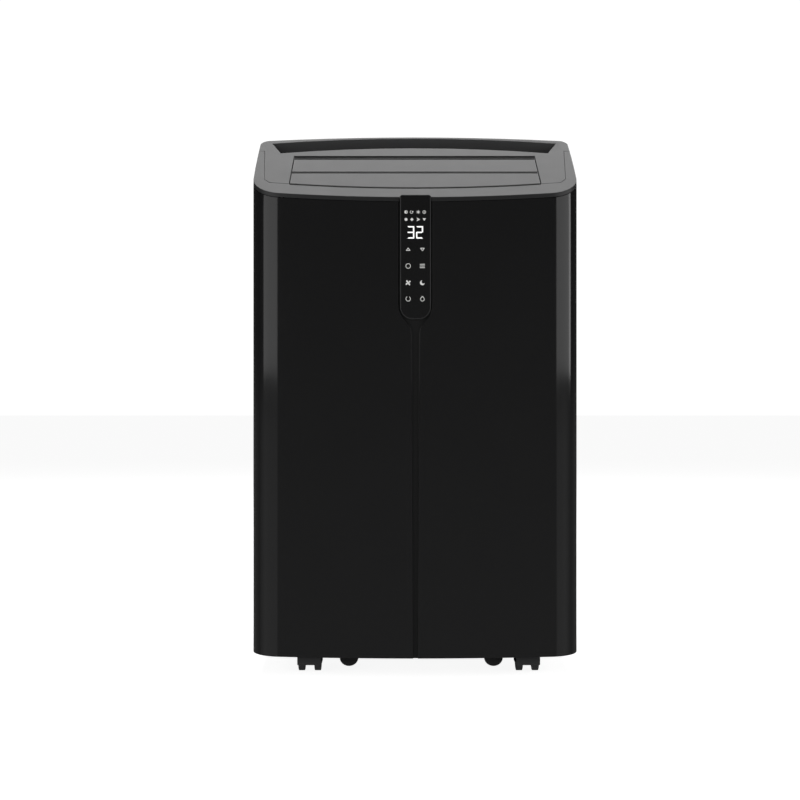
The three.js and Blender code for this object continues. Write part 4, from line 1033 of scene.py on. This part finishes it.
@dataclass
class Back:
    """The grilles, filters, exhaust collar, drain plugs, cord gland, grips and screws.

    Attributes:
        shop: Where the pieces are made.
        mesh_pitch: Distance between the filter's threads.
    """

    shop: Workshop
    mesh_pitch: float = 4.0 * MM

    def build(self) -> None:
        """Makes every piece of the back and the side grips."""
        for level in ("upper", "lower"):
            self.shop.dressed(f"{level}_intake_grille", 1.0 * MM)
            self.shop.dressed(f"{level}_filter", 0.5 * MM)
            self.filter_cloth(level)
            self.plug(f"{level}_drain_plug")
        for side in ("left", "right"):
            self.shop.dressed(f"{side}_hand_grip", 1.2 * MM)
        self.collar()
        self.shop.dressed("exhaust_duct", 0.5 * MM)
        self.gland()
        self.screws()

    def filter_cloth(self, level: str) -> None:
        """Makes a filter's woven sheet: a grid whose cells are inset and opened.

        Args:
            level: "upper" or "lower".
        """
        low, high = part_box(f"{level}_filter")
        wide, tall = high.x - low.x - 12 * MM, high.z - low.z - 12 * MM
        bm = bmesh.new()
        at = Matrix.Translation(((low.x + high.x) / 2, high.y - 2.4 * MM, (low.z + high.z) / 2))
        turn = Matrix.Rotation(math.pi / 2, 4, "X") @ Matrix.Diagonal((wide / 2, tall / 2, 1, 1))
        across, up = int(wide / self.mesh_pitch), int(tall / self.mesh_pitch)
        bmesh.ops.create_grid(bm, x_segments=across, y_segments=up, size=1.0, matrix=at @ turn)
        cells = bm.faces[:]
        bmesh.ops.inset_individual(bm, faces=cells, thickness=0.45 * MM)
        bmesh.ops.delete(bm, geom=cells, context="FACES")
        cloth = self.shop.piece(f"{level}_filter_cloth", bm, "filter_plastic", f"{level}_filter_door")
        thread = cloth.modifiers.new("thread", "SOLIDIFY")
        thread.thickness = 0.4 * MM

    def _round(self, node: str) -> tuple[float, float, float, float, Vector]:
        """Where a round CAD node on the back lies.

        Args:
            node: Name of the CAD node.

        Returns:
            Its inner end's Y, its outer end's Y, the back wall's Y, its radius and a point on its axis.
        """
        low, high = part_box(node)
        centre = Vector(((low.x + high.x) / 2, 0, (low.z + high.z) / 2))
        return low.y, high.y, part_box("rear_shell")[1].y, (high.x - low.x) / 2, centre

    def collar(self) -> None:
        """Makes the exhaust collar with a rolled rim, a stop bead and its flange."""
        start, rim, flange, outer, centre = self._round("exhaust_collar")
        tube, bore = outer - 7 * MM, outer - 11 * MM
        profile = [
            (start, bore), (rim - 1.2 * MM, bore), (rim - 0.3 * MM, bore + 0.5 * MM), (rim, bore + 1.6 * MM),
            (rim, tube - 1.4 * MM), (rim - 0.4 * MM, tube - 0.4 * MM), (rim - 1.4 * MM, tube),
            (flange + 6.5 * MM, tube), (flange + 5.9 * MM, tube + 1.0 * MM), (flange + 4.4 * MM, tube + 1.0 * MM),
            (flange + 3.8 * MM, tube), (flange + 3.0 * MM, tube + 0.6 * MM), (flange + 2.7 * MM, outer - 0.9 * MM),
            (flange + 1.9 * MM, outer), (flange + 0.3 * MM, outer), (flange + 0.3 * MM, tube), (start, tube),
            (start, bore),
        ]
        ring = self.shop.stand_in("exhaust_collar", turned(profile, centre, Axis.Y, 96), "black_plastic")
        self.shop.round_edges(ring, 0.3 * MM, 50.0)

    def plug(self, node: str) -> None:
        """Makes a drain plug with a rounded cap and a finger bar.

        Args:
            node: Name of its CAD node.
        """
        start, face, shell, r, centre = self._round(node)
        stem = r - 4 * MM
        profile = [
            (start, 0.0), (start, stem - 1.2 * MM), (start + 1.2 * MM, stem), (shell + 0.35 * MM, stem),
            (shell + 0.35 * MM, r - 0.6 * MM), (shell + 0.9 * MM, r), (face - 2.6 * MM, r),
            (face - 1.2 * MM, r - 0.8 * MM), (face - 0.8 * MM, r - 2.4 * MM),
            (face - 1.0 * MM, r - 4.2 * MM), (face - 1.4 * MM, 0.0),
        ]
        bm = turned(profile, centre, Axis.Y, 48)
        bar = block(bm, Vector((centre.x - r * 0.7, face - 2 * MM, centre.z - 1.6 * MM)),
                    Vector((centre.x + r * 0.7, face, centre.z + 1.6 * MM)))
        edges = list({e for v in bar for e in v.link_edges})
        bmesh.ops.bevel(bm, geom=edges, offset=0.6 * MM, affect="EDGES", segments=3, profile=0.5, material=-1)
        self.shop.stand_in(node, bm, "rubber")

    def gland(self) -> None:
        """Makes the cord gland: a stepped boss with a hollow for the cord."""
        start, end, shell, r, centre = self._round("cord_gland")
        bore, body = 4.2 * MM, r - 4 * MM
        profile = [
            (start, bore), (end - 0.6 * MM, bore), (end, bore + 0.7 * MM), (end, r - 5.5 * MM),
            (end - 0.8 * MM, r - 4.2 * MM), (shell + 2.4 * MM, r - 1.2 * MM), (shell + 1.6 * MM, r),
            (shell + 0.3 * MM, r), (shell + 0.3 * MM, body), (start, body), (start, bore),
        ]
        self.shop.stand_in("cord_gland", turned(profile, centre, Axis.Y, 48), "black_plastic")

    def screws(self) -> None:
        """Sets pan-head screws into the back, in pairs beside the collar and between the grilles."""
        upper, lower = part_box("upper_intake_grille"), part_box("lower_intake_grille")
        half = upper[1].x - 14 * MM
        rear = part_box("rear_shell")[1].y
        heights = [lower[1].z + 14 * MM, upper[0].z - 14 * MM]
        spots = [(s * half, z) for s in (-1, 1) for z in heights] + [(0.0, z) for z in heights]
        bm = bmesh.new()
        for x, z in spots:
            self._screw(bm, Vector((x, rear, z)))
        bmesh.ops.recalc_face_normals(bm, faces=bm.faces)
        self.shop.piece("back_screws", bm, "zinc", smooth=30.0)

    def _screw(self, bm: BMesh, at: Vector) -> None:
        """Adds one screw head with a hexagonal socket.

        Args:
            bm: The bmesh to add to.
            at: Where its head sits on the wall.
        """
        r = 3.6 * MM
        turn = Matrix.Translation(at) @ Matrix.Rotation(-math.pi / 2, 4, "X")
        face = bmesh.ops.create_circle(bm, cap_ends=True, segments=24, radius=r, matrix=turn)["verts"]
        cap = face[0].link_faces[0]
        steps = [(1.5 * MM, 1.0), (0.5 * MM, 0.86), (0.2 * MM, 0.66), (0.0, 0.5), (-1.6 * MM, 1.0)]
        for rise, shrink in steps:
            out = bmesh.ops.extrude_discrete_faces(bm, faces=[cap])
            cap = out["faces"][0]
            middle = cap.calc_center_median()
            for i, vert in enumerate(cap.verts):
                arm = (vert.co - middle) * shrink
                if rise == 0.0:  # The socket's rim, which is hexagonal.
                    t = math.atan2(arm.z, arm.x)
                    arm *= math.cos(math.pi / 6) / math.cos((t % (math.pi / 3)) - math.pi / 6)
                vert.co = middle + arm + Vector((0, rise, 0))


# ---------------------------------------------------------------- underneath


@dataclass
class Undercarriage:
    """The base pan, the four twin-wheel casters and the two stop feet.

    Attributes:
        shop: Where the pieces are made.
        wheel: Radius of a caster's wheels.
        wide: Width of one wheel.
        inner: Distance from the fork's middle to a wheel.
        fork_foot: Height of the fork's lower end.
    """

    shop: Workshop
    wheel: float = 19 * MM
    wide: float = 8.9 * MM
    inner: float = 7.0 * MM
    fork_foot: float = 10.5 * MM

    def build(self) -> None:
        """Makes every piece below the cabinet."""
        self.shop.dressed("base_pan", 0.8 * MM)
        for corner in ("front_left", "front_right", "rear_left", "rear_right"):
            hood = self.shop.dressed(f"caster_{corner}_hood", 1.0 * MM, 32.0)
            for vert in hood.data.vertices:
                vert.co.z = max(vert.co.z, self.fork_foot)
            self.wheels(f"caster_{corner}_wheels")
        for side in ("left", "right"):
            self.stop_foot(f"{side}_stop_foot")

    def wheels(self, node: str) -> None:
        """Makes a caster's two wheels on their axle, each with a rounded tread and a dished hub.

        Args:
            node: Name of the CAD node.
        """
        low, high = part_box(node)
        centre = (low + high) / 2
        r, a, b = self.wheel, self.inner, self.inner + self.wide
        side = [
            (a, 3.0 * MM), (a, r - 0.8 * MM), (a + 0.3 * MM, r - 0.2 * MM), (a + 0.9 * MM, r),
            (b - 0.9 * MM, r), (b - 0.3 * MM, r - 0.2 * MM), (b, r - 0.8 * MM), (b, r - 4.0 * MM),
            (b - 1.2 * MM, r - 4.6 * MM),
            (b - 1.2 * MM, 7.2 * MM), (b - 0.3 * MM, 6.6 * MM), (b - 0.3 * MM, 0.0),
        ]
        profile = [(-x, z) for x, z in reversed(side)] + side
        self.shop.stand_in(node, turned(profile, centre, Axis.X, 56), "wheel_plastic")

    def stop_foot(self, node: str) -> None:
        """Makes a stop foot: a short post with a half-round end.

        Args:
            node: Name of the CAD node.
        """
        low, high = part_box(node)
        r = (high.x - low.x) / 2
        centre = Vector(((low.x + high.x) / 2, (low.y + high.y) / 2, low.z))
        turns = [math.pi / 2 * i / 12 for i in range(13)]
        dome = [(r * 0.9 * (1 - math.cos(t)), r * math.sin(t)) for t in turns]
        post = [(high.z - low.z, r), (high.z - low.z, 0.0)]
        self.shop.stand_in(node, turned(dome + post, centre, Axis.Z, 40), "seal_rubber")


# ---------------------------------------------------------------- inside


@dataclass
class Machinery:
    """The refrigeration circuit, the fans and the electrical box inside."""

    shop: Workshop

    def build(self) -> None:
        """Makes every inner piece."""
        for node in ("evaporator_coil", "condenser_coil", "accumulator", "partition_tray", "control_box"):
            self.shop.dressed(node, 0.5 * MM)
        for node in ("compressor", "discharge_pipe", "suction_pipe", "liquid_pipe", "main_board"):
            self.shop.dressed(node, 0.0, 40.0)
        for fan in ("evaporator", "condenser"):
            self.shop.dressed(f"{fan}_scroll", 0.5 * MM)
            self.shop.dressed(f"{fan}_motor", 0.8 * MM)
            self.shop.dressed(f"{fan}_wheel", 0.0)
        for node in ("slinger_motor", "slinger_wheel"):
            self.shop.dressed(node, 0.0)
        for i in (1, 2, 3):
            self.shop.dressed(f"compressor_grommet_{i}", 0.0)


# ---------------------------------------------------------------- studio


# Name, place, aim, width and height in metres, power in watts.
LAMPS = (
    ("overhead", (0.0, 1.3, 2.9), (0.0, -0.05, 0.6), 3.2, 3.0, 62.0),
    ("front_left", (-1.776, -1.388, 0.965), (-0.19, -0.168, 0.965), 2.11, 1.0, 7.6),
    ("front_right", (1.996, -1.039, 0.965), (0.19, -0.179, 0.965), 2.08, 1.0, 7.6),
    ("right_edge", (2.424, 0.074, 0.965), (0.436, -0.146, 0.965), 0.35, 1.0, 2.8),
)


@dataclass
class Studio:
    """A white room with an overhead softbox, three side softboxes and the camera.

    Attributes:
        eye: Place of the camera.
        lens: Focal length in millimetres on a 36 mm sensor.
        floor_white: Level of the floor's own colour.
        floor_glow: Light that the floor gives off.
        room_white: Brightness of the room behind the object.
        dark_side: How far the dark ahead lies to the right.
    """

    eye: Vector = field(default_factory=lambda: Vector((-21.6 * MM, -1935.5 * MM, 389 * MM)))
    lens: float = 56.2
    floor_white: float = 0.86
    floor_glow: float = 0.9
    room_white: float = 1.05
    dark_side: float = 0.1

    def build(self) -> None:
        """Makes the floor, the room, the lamps and the camera."""
        bpy.context.scene.view_settings.view_transform = "Standard"
        self._floor()
        self._room()
        for name, at, aim, wide, tall, power in LAMPS:
            self._softbox(name, Vector(at), Vector(aim), wide, tall, power)
        camera = placed("camera", bpy.data.cameras.new("camera"))
        camera.data.lens = self.lens
        camera.data.sensor_width = 36.0
        camera.location = self.eye
        camera.rotation_euler = (math.pi / 2, 0.0, 0.0)
        bpy.context.scene.camera = camera

    def _floor(self) -> None:
        """Makes the pale floor, which the gloss skins don't mirror."""
        bm = bmesh.new()
        bmesh.ops.create_grid(bm, x_segments=1, y_segments=1, size=30.0)
        mesh = bpy.data.meshes.new("floor")
        bm.to_mesh(mesh)
        bm.free()
        floor = placed("floor", mesh)
        floor.location.z = -0.5 * MM
        floor.visible_glossy = False
        material = bpy.data.materials.new("pale_floor")
        material.use_nodes = True
        shader = material.node_tree.nodes["Principled BSDF"]
        shader.inputs["Base Color"].default_value = (self.floor_white, self.floor_white, self.floor_white, 1)
        shader.inputs["Roughness"].default_value = 0.9
        shader.inputs["Emission Color"].default_value = (1, 1, 1, 1)
        shader.inputs["Emission Strength"].default_value = self.floor_glow
        floor.data.materials.append(material)

    def _room(self) -> None:
        """Makes the white surroundings, which light and mirror in the object only dimly."""
        world = bpy.data.worlds.new("room")
        world.use_nodes = True
        tree = world.node_tree
        shade = tree.nodes["Background"]
        shade.inputs["Color"].default_value = (1, 1, 1, 1)
        ray = tree.nodes.new("ShaderNodeLightPath")
        way = tree.nodes.new("ShaderNodeSeparateXYZ")
        place = tree.nodes.new("ShaderNodeTexCoord")
        tree.links.new(place.outputs["Generated"], way.inputs[0])
        level = self._span(tree, way.outputs["Z"], (-0.25, 0.2), (0.24, 0.095))
        shift = self._join(tree, "SUBTRACT", way.outputs["X"], self.dark_side)
        aside = self._join(tree, "ABSOLUTE", shift, 0.0)
        flank = self._span(tree, aside, (0.48, 0.54), (0.0, 0.2))
        low = self._span(tree, way.outputs["Z"], (-0.03, 0.03), (1.0, 0.0))
        ahead = self._span(tree, way.outputs["Y"], (-0.3, 0.2), (1.0, 0.27))
        sides = self._join(tree, "MULTIPLY", flank, low)
        glow = self._join(tree, "MULTIPLY", self._join(tree, "ADD", level, sides), ahead)
        mix = tree.nodes.new("ShaderNodeMix")
        mix.inputs[3].default_value = self.room_white
        tree.links.new(ray.outputs["Is Camera Ray"], mix.inputs[0])
        tree.links.new(glow, mix.inputs[2])
        tree.links.new(mix.outputs[0], shade.inputs["Strength"])
        bpy.context.scene.world = world

    def _span(self, tree: Tree, value: Socket, near: Point, far: Point) -> Socket:
        """Adds a node that carries a value from one span to another.

        Args:
            tree: Node tree to add to.
            value: The value.
            near: The span it comes from.
            far: The span it goes to.

        Returns:
            The result's output socket.
        """
        span = tree.nodes.new("ShaderNodeMapRange")
        span.inputs["From Min"].default_value, span.inputs["From Max"].default_value = near
        span.inputs["To Min"].default_value, span.inputs["To Max"].default_value = far
        tree.links.new(value, span.inputs["Value"])
        return span.outputs["Result"]

    def _join(self, tree: Tree, operation: str, first: Socket, second: Socket | float) -> Socket:
        """Adds a node that joins two values.

        Args:
            tree: Node tree to add to.
            operation: Name of the sum.
            first: One value.
            second: The other value, or a fixed number.

        Returns:
            The result's output socket.
        """
        node = tree.nodes.new("ShaderNodeMath")
        node.operation = operation
        tree.links.new(first, node.inputs[0])
        if isinstance(second, float):
            node.inputs[1].default_value = second
        else:
            tree.links.new(second, node.inputs[1])
        return node.outputs[0]

    def _softbox(self, name: str, at: Vector, aim: Vector, wide: float, tall: float, power: float) -> None:
        """Adds a rectangular lamp.

        Args:
            name: Name of the lamp.
            at: Its place.
            aim: The point it faces.
            wide: Its width.
            tall: Its height.
            power: Its power in watts.
        """
        lamp = bpy.data.lights.new(name, "AREA")
        lamp.shape = "RECTANGLE"
        lamp.size, lamp.size_y, lamp.energy = wide, tall, power
        thing = placed(name, lamp)
        thing.location = at
        thing.rotation_euler = (aim - at).to_track_quat("-Z", "Y").to_euler()
        thing.visible_camera = False


def main() -> None:
    """Builds the sub-assemblies in order."""
    logging.basicConfig(level=logging.INFO, format="%(name)s: %(message)s")
    shop = Workshop()
    for assembly in (Cabinet, ControlStrip, Outlet, Back, Undercarriage, Machinery):
        assembly(shop).build()
    Studio().build()
    LOG.info("%d pieces in all", len(shop.made))


if __name__ == "__main__":
    main()
